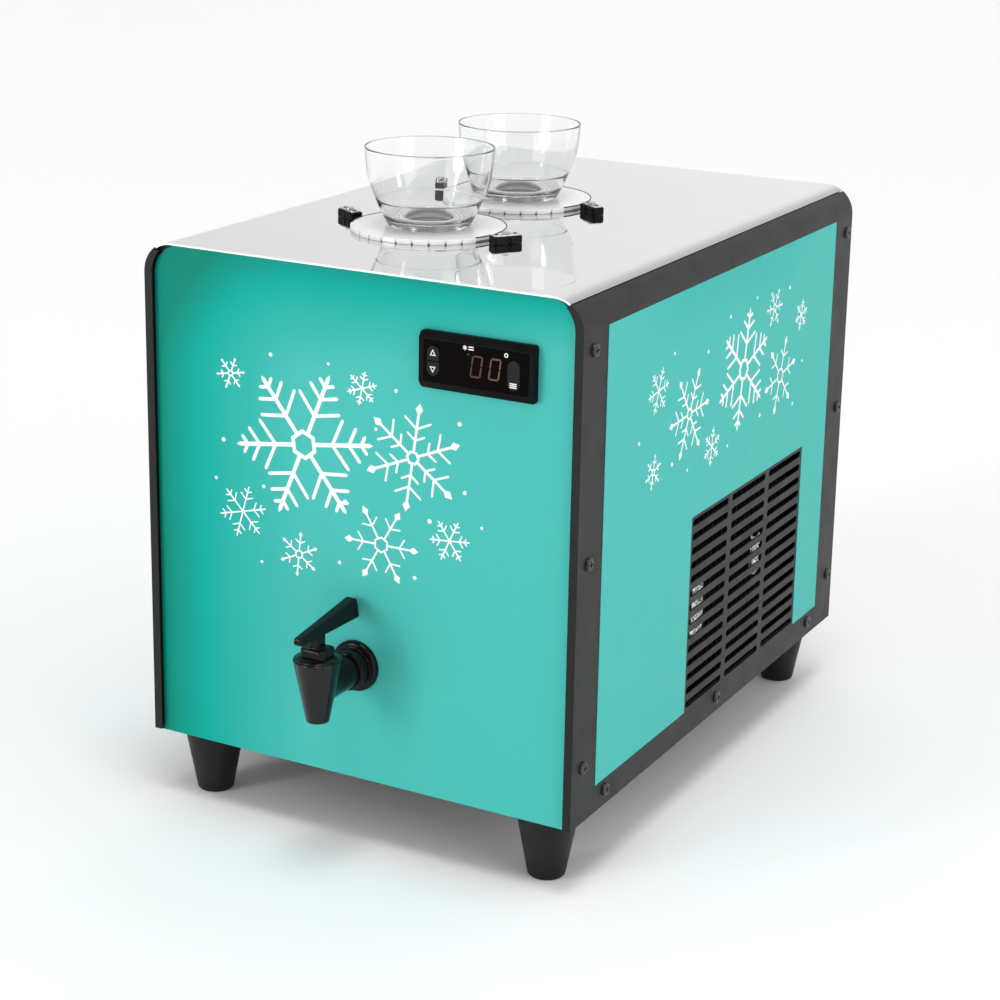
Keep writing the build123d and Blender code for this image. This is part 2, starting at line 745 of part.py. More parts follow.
for row, y in cup_rows.items():
    with BuildPart() as seat_ring:
        with BuildSketch(level(ring_bottom)):
            with Locations((CUP_OFFSET, y)):
                Circle(SEAT_RADIUS)
                Circle(neck_hole, mode=Mode.SUBTRACT)
        extrude(amount=SEAT_THICKNESS)
        fillet(seat_ring.edges().group_by(Axis.Z)[-1].sort_by(SortBy.LENGTH)[-1], SEAT_EDGE)
    save(seat_ring.part, f"seat_ring_{row}")

    with BuildPart() as bottle_cup:
        with BuildSketch(standing(CUP_OFFSET, y)):
            with BuildLine():
                outside = ThreePointArc(
                    (CUP_BASE_RADIUS, cup_bottom),
                    (CUP_WAIST_RADIUS, cup_bottom + CUP_WAIST_HEIGHT),
                    (CUP_SHOULDER_RADIUS, cup_bottom + CUP_SHOULDER_HEIGHT),
                )
                inside = ThreePointArc(
                    (CUP_BASE_RADIUS - CUP_WALL, cup_floor),
                    (CUP_WAIST_RADIUS - CUP_WALL, cup_bottom + CUP_WAIST_HEIGHT),
                    (CUP_SHOULDER_RADIUS - CUP_WALL, cup_bottom + CUP_SHOULDER_HEIGHT),
                )
                Polyline(
                    outside @ 1,
                    (CUP_RIM_RADIUS, cup_top - CUP_LIP_HEIGHT),
                    (CUP_RIM_RADIUS + CUP_LIP, cup_top),
                    (CUP_RIM_RADIUS + CUP_LIP - CUP_WALL, cup_top),
                    (CUP_RIM_RADIUS - CUP_WALL, cup_top - CUP_LIP_HEIGHT),
                    inside @ 1,
                )
                Polyline(
                    inside @ 0, (neck_hole, cup_floor), (neck_hole, cup_bottom), outside @ 0
                )
            make_face()
        revolve(axis=upright(CUP_OFFSET, y))
        fillet(bottle_cup.edges().group_by(Axis.Z)[-1], CUP_WALL / 3)
    save(bottle_cup.part, f"bottle_cup_{row}")

    with BuildPart() as neck_sleeve:
        with BuildSketch(standing(CUP_OFFSET, y)):
            with BuildLine():
                Polyline(
                    (NECK_BORE, body_top - NECK_DROP),
                    (neck_outer, body_top - NECK_DROP),
                    (neck_outer, cup_floor),
                    (NECK_FLANGE_RADIUS, cup_floor),
                    (NECK_FLANGE_RADIUS, cup_floor + NECK_FLANGE),
                    (NECK_BORE, cup_floor + NECK_FLANGE),
                    close=True,
                )
            make_face()
        revolve(axis=upright(CUP_OFFSET, y))
    save(neck_sleeve.part, f"neck_sleeve_{row}")

# Turning clamps beside the seat rings, each a waisted block with a bright plate on top
waist = CLAMP_WIDTH / 2 + CLAMP_WAIST_RADIUS - CLAMP_WAIST_DEPTH
clamp_bottom = body_top + CLAMP_GAP
clamp_top = clamp_bottom + CLAMP_HEIGHT
for place, (x, y, angle) in clamp_spots.items():
    turned = Plane(origin=(x, y, clamp_bottom)).rotated((0, 0, angle))
    with BuildPart() as clamp:
        with BuildSketch(turned):
            RectangleRounded(CLAMP_LENGTH, CLAMP_WIDTH, CLAMP_WIDTH / 4)
            with Locations((0, waist), (0, -waist)):
                Circle(CLAMP_WAIST_RADIUS, mode=Mode.SUBTRACT)
        extrude(amount=CLAMP_HEIGHT)
        chamfer(clamp.edges().group_by(Axis.Z)[-1], CLAMP_EDGE)
        with BuildSketch(turned.offset(CLAMP_HEIGHT)):
            plate_margin = 2 * (CLAMP_EDGE + CLAMP_PLATE_MARGIN)
            RectangleRounded(
                CLAMP_LENGTH - plate_margin, CLAMP_WIDTH - plate_margin, CLAMP_WIDTH / 6
            )
        extrude(amount=CLAMP_PLATE)
        with BuildSketch(turned):
            Circle(CLAMP_SCREW_RADIUS + CLAMP_SCREW_GAP)
        extrude(amount=CLAMP_HEIGHT + CLAMP_PLATE, mode=Mode.SUBTRACT)
    save(clamp.part, f"clamp_{place}")

clamp_screw_seat = clamp_top + CLAMP_PLATE + CLAMP_HEAD_GAP
clamp_screw_end = foam_top + INSULATION_GAP
with BuildPart() as clamp_screws:
    with BuildSketch(level(clamp_screw_seat)):
        with Locations(*[(x, y) for x, y, _ in clamp_spots.values()]):
            Circle(CLAMP_SCREW_HEAD)
    extrude(amount=CLAMP_SCREW_HEAD_HEIGHT)
    fillet(clamp_screws.edges().group_by(Axis.Z)[-1], CLAMP_SCREW_HEAD_HEIGHT / 2)
    with BuildSketch(level(clamp_screw_end)):
        with Locations(*[(x, y) for x, y, _ in clamp_spots.values()]):
            Circle(CLAMP_SCREW_RADIUS)
    extrude(amount=clamp_screw_seat - clamp_screw_end)
save(clamp_screws.part, "clamp_screws")

# Tap body: a tapered spout on a horizontal arm, with a shank through the panel
cone_top = tap_z + TAP_RISE
cone_bottom = tap_z - TAP_DROP
valve_seat = tap_z - VALVE_SEAT_DROP
collar_face = film_face - ESCUTCHEON_LENGTH
shank_end = plate_back + SHANK_LENGTH
tail_end = shank_end + TAIL_LENGTH
with BuildPart() as tap_body:
    with BuildSketch(standing(0, tap_y)):
        with BuildLine():
            Polyline(
                (0, cone_bottom),
                (TAP_SPOUT_RADIUS, cone_bottom),
                (TAP_TOP_RADIUS, cone_top),
                (0, cone_top),
                close=True,
            )
        make_face()
    revolve(axis=upright(0, tap_y))
    fillet(tap_body.edges().group_by(Axis.Z)[-1], TAP_RIM_ROUND)
    for near, far, radius in (
        (tap_y, collar_face, ARM_RADIUS),
        (collar_face, shank_end, SHANK_RADIUS),
        (shank_end, tail_end, TAIL_RADIUS),
    ):
        with BuildSketch(front_plane(near)):
            with Locations((0, tap_z)):
                Circle(radius)
        extrude(amount=near - far)
    with BuildSketch(standing(0, tap_y)):
        with BuildLine():
            Polyline(
                (0, cone_bottom),
                (SPOUT_BORE, cone_bottom),
                (SPOUT_BORE, valve_seat),
                (CHAMBER_RADIUS, valve_seat),
                (CHAMBER_RADIUS, cone_top - BONNET_DEPTH),
                (BONNET_RADIUS + BONNET_GAP, cone_top - BONNET_DEPTH),
                (BONNET_RADIUS + BONNET_GAP, cone_top),
                (0, cone_top),
                close=True,
            )
        make_face()
    revolve(axis=upright(0, tap_y), mode=Mode.SUBTRACT)
    with BuildSketch(front_plane(tap_y)):
        with Locations((0, tap_z)):
            Circle(ARM_BORE)
    extrude(amount=tap_y - tail_end, mode=Mode.SUBTRACT)
save(tap_body.part, "tap_body")

with BuildPart() as tap_escutcheon:
    with BuildSketch(front_plane(film_face)):
        with Locations((0, tap_z)):
            Circle(ESCUTCHEON_RADIUS)
    extrude(amount=ESCUTCHEON_THICKNESS)
    fillet(tap_escutcheon.edges().group_by(Axis.Y)[0], ESCUTCHEON_EDGE)
    with BuildSketch(front_plane(film_face)):
        with Locations((0, tap_z)):
            Circle(ESCUTCHEON_COLLAR_RADIUS)
    extrude(amount=ESCUTCHEON_LENGTH)
    chamfer(tap_escutcheon.edges().group_by(Axis.Y)[0], ESCUTCHEON_CHAMFER)
    with BuildSketch(front_plane(film_face)):
        with Locations((0, tap_z)):
            Circle(SHANK_RADIUS + SHANK_GAP)
    extrude(amount=ESCUTCHEON_LENGTH, mode=Mode.SUBTRACT)
save(tap_escutcheon.part, "tap_escutcheon")

with BuildPart() as tap_locknut:
    with BuildSketch(front_plane(plate_back)):
        with Locations((0, tap_z)):
            RegularPolygon(LOCK_NUT_FLATS / 2, 6, major_radius=False)
            Circle(SHANK_RADIUS + THREAD_GAP, mode=Mode.SUBTRACT)
    extrude(amount=-LOCK_NUT_HEIGHT)
save(tap_locknut.part, "tap_locknut")

# Bonnet: screwed into the top of the spout, guiding the valve stem and holding the spring
bonnet_top = cone_top + BONNET_RISE
spring_top = bonnet_top - BONNET_ROOF
with BuildPart() as tap_bonnet:
    with BuildSketch(standing(0, tap_y)):
        with BuildLine():
            Polyline(
                (STEM_RADIUS + RUNNING_GAP, bonnet_top),
                (BONNET_TOP_RADIUS, bonnet_top),
                (BONNET_CAP_RADIUS, cone_top),
                (BONNET_RADIUS, cone_top),
                (BONNET_RADIUS, cone_top - BONNET_DEPTH),
                (BONNET_SPRING_RADIUS, cone_top - BONNET_DEPTH),
                (BONNET_SPRING_RADIUS, spring_top),
                (STEM_RADIUS + RUNNING_GAP, spring_top),
                close=True,
            )
        make_face()
    revolve(axis=upright(0, tap_y))
save(tap_bonnet.part, "tap_bonnet")

# Lever: a foot that rocks on the bonnet, a neck and a wedge-shaped paddle with a narrow ridge
foot_bottom = bonnet_top + LEVER_FOOT_GAP
foot_top = foot_bottom + LEVER_FOOT_HEIGHT
pin_z = foot_bottom + PIN_HEIGHT
paddle_bottom = tap_z + LEVER_UNDERSIDE
paddle_tip = film_face - LEVER_TIP_REACH
paddle_tail = film_face - LEVER_WALL_GAP
with BuildPart() as tap_lever:
    for y, width, ridge, height in (
        (paddle_tip, LEVER_TIP_WIDTH, LEVER_TIP_RIDGE, LEVER_TIP_HEIGHT),
        (paddle_tail, LEVER_TAIL_WIDTH, LEVER_TAIL_RIDGE, LEVER_TAIL_HEIGHT),
    ):
        with BuildSketch(front_plane(y)):
            with BuildLine():
                Polyline(
                    (-width / 2, paddle_bottom),
                    (width / 2, paddle_bottom),
                    (ridge / 2, paddle_bottom + height),
                    (-ridge / 2, paddle_bottom + height),
                    close=True,
                )
            make_face()
    loft()
    fillet(tap_lever.edges(), LEVER_EDGE)
    with BuildSketch(level(foot_bottom)):
        with Locations((0, tap_y)):
            RectangleRounded(LEVER_FOOT_WIDTH, LEVER_FOOT_LENGTH, LEVER_FOOT_ROUND)
    extrude(amount=LEVER_FOOT_HEIGHT)
    fillet(tap_lever.edges().filter_by_position(Axis.Z, foot_top, foot_top), LEVER_FOOT_EDGE)
    with BuildSketch(level(foot_top - LEVER_SLOT_ROOF)):
        with Locations((0, tap_y)):
            RectangleRounded(LEVER_NECK_WIDTH, LEVER_NECK_LENGTH, LEVER_EDGE)
    extrude(amount=paddle_bottom + LEVER_EDGE - foot_top + LEVER_SLOT_ROOF)
    with BuildSketch(level(foot_bottom)):
        with Locations((0, tap_y)):
            Rectangle(LEVER_SLOT_WIDTH, LEVER_SLOT_LENGTH)
    extrude(amount=LEVER_FOOT_HEIGHT - LEVER_SLOT_ROOF, mode=Mode.SUBTRACT)
    with BuildSketch(side_plane(0)):
        with Locations((tap_y, pin_z)):
            Circle(PIN_RADIUS)
    extrude(amount=PIN_LENGTH / 2, both=True, mode=Mode.SUBTRACT)
save(tap_lever.part, "tap_lever")

with BuildPart() as tap_lever_pin:
    with BuildSketch(side_plane(0)):
        with Locations((tap_y, pin_z)):
            Circle(PIN_RADIUS)
    extrude(amount=PIN_LENGTH / 2, both=True)
save(tap_lever_pin.part, "tap_lever_pin")

plug_top = valve_seat + PLUG_HEIGHT
stem_bottom = plug_top - PLUG_SOCKET
with BuildPart() as tap_valve_stem:
    with BuildSketch(level(stem_bottom)):
        with Locations((0, tap_y)):
            Circle(STEM_RADIUS)
    extrude(amount=pin_z + STEM_OVER_PIN - stem_bottom)
    fillet(tap_valve_stem.edges().group_by(Axis.Z)[-1], STEM_RADIUS / 2)
    with BuildSketch(side_plane(0)):
        with Locations((tap_y, pin_z)):
            Circle(PIN_RADIUS + RUNNING_GAP)
    extrude(amount=2 * STEM_RADIUS, both=True, mode=Mode.SUBTRACT)
save(tap_valve_stem.part, "tap_valve_stem")

with BuildPart() as tap_valve_plug:
    with BuildSketch(standing(0, tap_y)):
        with BuildLine():
            Polyline(
                (0, valve_seat),
                (PLUG_TIP_RADIUS, valve_seat),
                (PLUG_RADIUS, plug_top),
                (STEM_RADIUS + RUNNING_GAP, plug_top),
                (STEM_RADIUS + RUNNING_GAP, stem_bottom),
                (0, stem_bottom),
                close=True,
            )
        make_face()
    revolve(axis=upright(0, tap_y))
save(tap_valve_plug.part, "tap_valve_plug")

# Valve spring between the plug and the bonnet
spring_low = plug_top + SPRING_WIRE + RUNNING_GAP
spring_high = spring_top - SPRING_WIRE - RUNNING_GAP
with BuildPart() as tap_spring:
    with BuildLine(Plane(origin=(0, tap_y, spring_low))) as coil:
        Helix((spring_high - spring_low) / SPRING_TURNS, spring_high - spring_low, SPRING_RADIUS)
    with BuildSketch(Plane(origin=coil.line @ 0, z_dir=coil.line % 0)):
        Circle(SPRING_WIRE)
    sweep(is_frenet=True)
save(tap_spring.part, "tap_spring")

# Controller: bezel and case in one moulding, clipped into the front panel
bezel_face = film_face - BEZEL_DEPTH
window_face = bezel_face + WINDOW_INSET
window_back = window_face + WINDOW_THICKNESS
case_spot = (controller_x, controller_z)
with BuildPart() as controller_case:
    with BuildSketch(side_plane(controller_x)):
        with BuildLine():
            bezel_half = BEZEL_HEIGHT / 2
            Polyline(
                (film_face, controller_z - bezel_half),
                (bezel_face + BEZEL_BEVEL, controller_z - bezel_half),
                (bezel_face, controller_z - bezel_half + BEZEL_BEVEL_HEIGHT),
                (bezel_face, controller_z + bezel_half - BEZEL_BEVEL_HEIGHT),
                (bezel_face + BEZEL_BEVEL, controller_z + bezel_half),
                (film_face, controller_z + bezel_half),
                close=True,
            )
        make_face()
    extrude(amount=BEZEL_WIDTH / 2, both=True)
    fillet(controller_case.edges().filter_by(Axis.Y), BEZEL_CORNER)
    with BuildSketch(front_plane(film_face)):
        with Locations(case_spot):
            Rectangle(CASE_WIDTH, CASE_HEIGHT)
    extrude(amount=-CASE_DEPTH)
    with BuildSketch(front_plane(bezel_face)):
        with Locations(case_spot):
            Rectangle(WINDOW_WIDTH + 2 * WINDOW_GAP, WINDOW_HEIGHT + 2 * WINDOW_GAP)
    extrude(amount=-WINDOW_INSET - WINDOW_THICKNESS, mode=Mode.SUBTRACT)
    with BuildSketch(front_plane(window_back)):
        with Locations(case_spot):
            Rectangle(CASE_WIDTH - 2 * CASE_WALL, WINDOW_HEIGHT - CASE_WALL)
    extrude(amount=window_back - film_face - CASE_DEPTH + CASE_WALL, mode=Mode.SUBTRACT)
save(controller_case.part, "controller_case")

arrow_spot = (controller_x + ARROW_KEYS_OFFSET, controller_z)
set_spot = (controller_x + SET_KEY_OFFSET, controller_z - SET_KEY_DROP)
with BuildPart() as controller_window:
    with BuildSketch(front_plane(window_face)):
        with Locations(case_spot):
            Rectangle(WINDOW_WIDTH, WINDOW_HEIGHT)
        with Locations(arrow_spot, set_spot):
            SlotOverall(
                KEY_LENGTH + 2 * KEY_GAP, KEY_WIDTH + 2 * KEY_GAP, rotation=90, mode=Mode.SUBTRACT
            )
    extrude(amount=-WINDOW_THICKNESS)
save(controller_window.part, "controller_window")

# Keys: caps through the window with a flange behind it; up and down share one oval
key_face = window_face - KEY_PROUD
key_back = window_back + KEY_SEAT_GAP
half_key = KEY_LENGTH / 2 + KEY_FLANGE
key_parts = {
    "up_button": (arrow_spot, 1),
    "down_button": (arrow_spot, -1),
    "set_button": (set_spot, 0),
}
for name, ((x, z), half) in key_parts.items():
    with BuildPart() as key:
        with BuildSketch(front_plane(key_face)):
            with Locations((x, z)):
                SlotOverall(KEY_LENGTH, KEY_WIDTH, rotation=90)
        extrude(amount=key_face - key_back)
        with BuildSketch(front_plane(key_back)):
            with Locations((x, z)):
                SlotOverall(KEY_LENGTH + 2 * KEY_FLANGE, KEY_WIDTH + 2 * KEY_FLANGE, rotation=90)
        extrude(amount=-KEY_FLANGE_THICKNESS)
        fillet(key.edges().group_by(Axis.Y)[0], KEY_PROUD / 2)
        if half:
            with BuildSketch(front_plane(key_face)):
                with Locations((x, z - half * (half_key - KEY_SPLIT / 2) / 2)):
                    Rectangle(KEY_WIDTH + 3 * KEY_FLANGE, half_key + KEY_SPLIT / 2)
            extrude(
                amount=key_face - key_back - KEY_FLANGE_THICKNESS, mode=Mode.SUBTRACT
            )
    save(key.part, name)

# Tank under the cups, hung by its flange below the top panel
tank_bottom = tank_top - TANK_HEIGHT
tank_front = tank_y - tank_length / 2
outlet_y = tank_front + OUTLET_FROM_FRONT
spigot_end = tank_bottom - SPIGOT_LENGTH
tank_plane_spot = (CUP_OFFSET, tank_y)
with BuildPart() as tank:
    with BuildSketch(level(tank_bottom)):
        with Locations(tank_plane_spot):
            RectangleRounded(tank_width, tank_length, TANK_CORNER)
    extrude(amount=TANK_HEIGHT)
    with BuildSketch(level(tank_top - TANK_SHEET)):
        with Locations(tank_plane_spot):
            RectangleRounded(
                tank_width + 2 * TANK_FLANGE,
                tank_length + 2 * TANK_FLANGE,
                TANK_CORNER + TANK_FLANGE,
            )
    extrude(amount=TANK_SHEET)
    with BuildSketch(level(spigot_end)):
        with Locations((0, outlet_y)):
            Circle(TAIL_RADIUS)
    extrude(amount=SPIGOT_LENGTH)
    with BuildSketch(level(tank_bottom + TANK_SHEET)):
        with Locations(tank_plane_spot):
            RectangleRounded(
                tank_width - 2 * TANK_SHEET,
                tank_length - 2 * TANK_SHEET,
                TANK_CORNER - TANK_SHEET,
            )
    extrude(amount=TANK_HEIGHT, mode=Mode.SUBTRACT)
    with BuildSketch(level(spigot_end)):
        with Locations((0, outlet_y)):
            Circle(SPIGOT_BORE)
    extrude(amount=SPIGOT_LENGTH + TANK_SHEET, mode=Mode.SUBTRACT)
save(tank.part, "tank")

# Outlet tube from the tank's spigot to the tap's tail
tube_bore = TAIL_RADIUS + RUNNING_GAP
tube_outer = TAIL_RADIUS + HOSE_WALL
tube_top = tank_bottom - INSULATION
outlet_tube = tube_along(
    [(0, outlet_y, tube_top), (0, outlet_y, tap_z), (0, shank_end + RUNNING_GAP, tap_z)],
    HOSE_BEND,
    tube_outer,
    tube_bore,
)
save(outlet_tube, "outlet_tube")

# Evaporator: a flat serpentine brazed under the tank
coil_z = tank_bottom - COIL_TUBE_RADIUS - COIL_GAP
coil_front = tank_front + COIL_FROM_FRONT
coil_back = tank_front + tank_length - COIL_FROM_BACK
coil_xs = [
    CUP_OFFSET + ((COIL_RUNS - 1) / 2 - run) * COIL_PITCH for run in range(COIL_RUNS)
]
coil_inlet = (coil_xs[0], coil_front - COIL_PITCH, coil_z)
coil_outlet = (coil_xs[-1], coil_back + COIL_PITCH, coil_z)
with BuildPart() as evaporator_coil:
    with BuildLine(level(coil_z)) as route:
        for run, x in enumerate(coil_xs):
            ends = (coil_front, coil_back) if run % 2 == 0 else (coil_back, coil_front)
            low = coil_inlet[1] if run == 0 else ends[0]
            high = coil_outlet[1] if run == COIL_RUNS - 1 else ends[1]
            Line((x, low), (x, high))
            if run < COIL_RUNS - 1:
                bulge = COIL_PITCH / 2 if run % 2 == 0 else -COIL_PITCH / 2
                ThreePointArc(
                    (x, ends[1]),
                    (x - COIL_PITCH / 2, ends[1] + bulge),
                    (x - COIL_PITCH, ends[1]),
                )
    with BuildSketch(Plane(origin=coil_inlet, z_dir=(0, 1, 0))):
        Circle(COIL_TUBE_RADIUS)
        Circle(COIL_TUBE_RADIUS - COIL_TUBE_WALL, mode=Mode.SUBTRACT)
    sweep()
save(evaporator_coil.part, "evaporator_coil")

# Foam round the tank, with ways out for the tube, the coil's ends and the probe
cavity_bottom = coil_z - COIL_TUBE_RADIUS - INSULATION_GAP
probe_x = CUP_OFFSET + tank_width / 2 + PROBE_RADIUS + RUNNING_GAP
with BuildPart() as tank_insulation:
    with BuildSketch(level(cavity_bottom - INSULATION)):
        with Locations(tank_plane_spot):
            Rectangle(tank_width + 2 * INSULATION, tank_length + 2 * INSULATION)
    extrude(amount=foam_top - cavity_bottom + INSULATION)
    fillet(tank_insulation.edges().filter_by(Axis.Z), TANK_CORNER / 2)
    with BuildSketch(level(cavity_bottom)):
        with Locations(tank_plane_spot):
            RectangleRounded(
                tank_width + 2 * INSULATION_GAP,
                tank_length + 2 * INSULATION_GAP,
                TANK_CORNER,
            )
        with Locations((probe_x - PROBE_RADIUS / 2, tank_y)):
            Rectangle(3 * PROBE_RADIUS + 2 * INSULATION_GAP, 2 * PROBE_RADIUS + 2 * INSULATION_GAP)
    extrude(amount=TANK_HEIGHT + INSULATION, mode=Mode.SUBTRACT)
    with BuildSketch(level(cavity_bottom)):
        with Locations((0, outlet_y)):
            Circle(tube_outer + INSULATION_GAP)
    extrude(amount=-INSULATION, mode=Mode.SUBTRACT)
    for end, way in ((coil_inlet, -1), (coil_outlet, 1)):
        with BuildSketch(Plane(origin=end, z_dir=(0, way, 0))):
            Circle(COIL_TUBE_RADIUS + INSULATION_GAP)
        extrude(amount=TANK_CORNER + 2 * INSULATION, mode=Mode.SUBTRACT)
save(tank_insulation.part, "tank_insulation")

with BuildPart() as temperature_probe:
    with BuildSketch(level(tank_top - PROBE_DROP - PROBE_LENGTH)):
        with Locations((probe_x, tank_y)):
            Circle(PROBE_RADIUS)
    extrude(amount=PROBE_LENGTH)
    fillet(temperature_probe.edges().group_by(Axis.Z)[0], PROBE_RADIUS / 2)
save(temperature_probe.part, "temperature_probe")

# Rows of the condenser and its fan along the right wall, which leave the compressor its room
condenser_right = half_width - SHEET - CONDENSER_WALL_GAP
condenser_left = condenser_right - CONDENSER_THICKNESS
shroud_right = condenser_left - SHROUD_GAP
shroud_left = shroud_right - END_PLATE
fan_left = shroud_left - FAN_DEPTH

# Compressor: an oval pot on a plate, standing on rubber mounts behind the tank
relay_room = RELAY_STAND + RELAY_DEPTH
spare_room = fan_left + plate_half - COMPRESSOR_LENGTH - relay_room - PORT_LENGTH
compressor_x = COMPRESSOR_LENGTH / 2 + relay_room + spare_room * COMPRESSOR_LEFT_SHARE - plate_half
compressor_y = rear_inside - COMPRESSOR_REAR_GAP - COMPRESSOR_WIDTH / 2
compressor_spot = (compressor_x, compressor_y)
plate_z = floor_top + MOUNT_HEIGHT
pot_bottom = plate_z + COMPRESSOR_PLATE
pot_top = pot_bottom + COMPRESSOR_HEIGHT
pot_left = compressor_x - COMPRESSOR_LENGTH / 2
pot_right = compressor_x + COMPRESSOR_LENGTH / 2
relay_face = pot_left - RELAY_STAND
port_y = compressor_y + PORT_OFFSET
port_z = pot_bottom + PORT_HEIGHT
port_end = pot_right + PORT_LENGTH
suction_x = coil_outlet[0]
suction_y = compressor_y
with BuildPart() as compressor:
    with BuildSketch(level(pot_bottom)):
        with Locations(compressor_spot):
            Ellipse(COMPRESSOR_LENGTH / 2, COMPRESSOR_WIDTH / 2)
    extrude(amount=COMPRESSOR_HEIGHT)
    pot_rims = compressor.edges().group_by(Axis.Z)
    fillet(pot_rims[-1] + pot_rims[0], COMPRESSOR_ROUND)
    with BuildSketch(level(plate_z)):
        with Locations(compressor_spot):
            RectangleRounded(
                COMPRESSOR_FOOT_SPACING[0] + 2 * COMPRESSOR_PLATE_MARGIN,
                COMPRESSOR_FOOT_SPACING[1] + 2 * COMPRESSOR_PLATE_MARGIN,
                COMPRESSOR_PLATE_MARGIN,
            )
    extrude(amount=2 * COMPRESSOR_PLATE)
    with BuildSketch(side_plane(relay_face)):
        with Locations((compressor_y, pot_bottom + RELAY_LEVEL)):
            Rectangle(RELAY_WIDTH / 2, RELAY_HEIGHT / 2)
    extrude(amount=RELAY_STAND + COMPRESSOR_ROUND)
    with BuildSketch(side_plane(port_end)):
        with Locations((port_y, port_z)):
            Circle(PORT_RADIUS)
    extrude(amount=-PORT_LENGTH - COMPRESSOR_ROUND)
    with BuildSketch(level(pot_top + PORT_LENGTH)):
        with Locations((suction_x, suction_y)):
            Circle(PORT_RADIUS)
    extrude(amount=-PORT_LENGTH - COMPRESSOR_ROUND)
save(compressor.part, "compressor")

with BuildPart() as compressor_mounts:
    with BuildSketch(level(floor_top)):
        with Locations(compressor_spot):
            with GridLocations(*COMPRESSOR_FOOT_SPACING, 2, 2):
                Circle(MOUNT_RADIUS)
    extrude(amount=MOUNT_HEIGHT)
save(compressor_mounts.part, "compressor_mounts")

with BuildPart() as relay_cover:
    with BuildSketch(side_plane(relay_face)):
        with Locations((compressor_y, pot_bottom + RELAY_LEVEL)):
            RectangleRounded(RELAY_WIDTH, RELAY_HEIGHT, RELAY_STAND / 2)
    extrude(amount=-RELAY_DEPTH)
    fillet(relay_cover.edges().group_by(Axis.X)[0], RELAY_STAND / 3)
save(relay_cover.part, "relay_cover")

# Condenser behind the right grille: finned block with a serpentine tube and two end plates
condenser_x = (condenser_left + condenser_right) / 2
condenser_y = grille_y
condenser_bottom = floor_top + CONDENSER_CLEARANCE
condenser_z = condenser_bottom + CONDENSER_HEIGHT / 2
condenser_front = condenser_y - CONDENSER_LENGTH / 2
condenser_back = condenser_y + CONDENSER_LENGTH / 2
pass_zs = [
    condenser_z + ((CONDENSER_PASSES - 1) / 2 - turn) * CONDENSER_PASS_PITCH
    for turn in range(CONDENSER_PASSES)
]
hot_end = (condenser_x, condenser_back + LINE_REACH / 2, pass_zs[0])
cool_end = (condenser_x, condenser_back + LINE_REACH / 2, pass_zs[-1])
fin_count = int(CONDENSER_LENGTH / FIN_PITCH) - 1
with BuildPart() as condenser:
    with BuildLine(side_plane(condenser_x)) as route:
        for turn, z in enumerate(pass_zs):
            forward = turn % 2 == 0
            ends = (condenser_back, condenser_front) if forward else (condenser_front, condenser_back)
            low = hot_end[1] if turn == 0 else ends[0]
            high = cool_end[1] if turn == CONDENSER_PASSES - 1 else ends[1]
            Line((low, z), (high, z))
            if turn < CONDENSER_PASSES - 1:
                bulge = -CONDENSER_PASS_PITCH / 2 if forward else CONDENSER_PASS_PITCH / 2
                ThreePointArc(
                    (ends[1], z),
                    (ends[1] + bulge, z - CONDENSER_PASS_PITCH / 2),
                    (ends[1], z - CONDENSER_PASS_PITCH),
                )
    with BuildSketch(Plane(origin=hot_end, z_dir=(0, -1, 0))):
        Circle(LINE_RADIUS)
    sweep()
    for fin in range(fin_count):
        with BuildSketch(front_plane(condenser_y + (fin - (fin_count - 1) / 2) * FIN_PITCH)):
            with Locations((condenser_x, condenser_z)):
                Rectangle(CONDENSER_THICKNESS, CONDENSER_HEIGHT)
        extrude(amount=FIN / 2, both=True)
    plate_height = CONDENSER_CLEARANCE + CONDENSER_HEIGHT
    for plate_y in (condenser_front, condenser_back - END_PLATE):
        with BuildSketch(front_plane(plate_y)):
            with Locations((condenser_x, floor_top + plate_height / 2)):
                Rectangle(CONDENSER_THICKNESS, plate_height)
        extrude(amount=-END_PLATE)
save(condenser.part, "condenser")

# Fan: shroud plate on the condenser, frame with its motor, and the rotor
fan_z = condenser_z
fan_spot = (condenser_y, fan_z)
with BuildPart() as fan_shroud:
    with BuildSketch(side_plane(shroud_left)):
        with Locations((condenser_y, floor_top + plate_height / 2)):
            Rectangle(CONDENSER_LENGTH, plate_height)
        with Locations(fan_spot):
            Circle(FAN_BORE, mode=Mode.SUBTRACT)
    extrude(amount=END_PLATE)
save(fan_shroud.part, "fan_shroud")

hub_left = fan_left + FAN_MOTOR_DEPTH
with BuildPart() as fan_frame:
    with BuildSketch(side_plane(fan_left)):
        with Locations(fan_spot):
            RectangleRounded(FAN_SIZE, FAN_SIZE, FAN_CORNER)
            Circle(FAN_BORE, mode=Mode.SUBTRACT)
    extrude(amount=FAN_DEPTH)
    with BuildSketch(side_plane(fan_left)):
        with Locations(fan_spot):
            Circle(FAN_HUB_RADIUS)
            with PolarLocations(FAN_BORE / 2, FAN_STRUTS, start_angle=45):
                Rectangle(FAN_BORE + FAN_CORNER, FAN_STRUT_WIDTH)
            Circle(FAN_SHAFT_RADIUS + RUNNING_GAP, mode=Mode.SUBTRACT)
    extrude(amount=FAN_MOTOR_DEPTH - SHROUD_GAP)
save(fan_frame.part, "fan_frame")

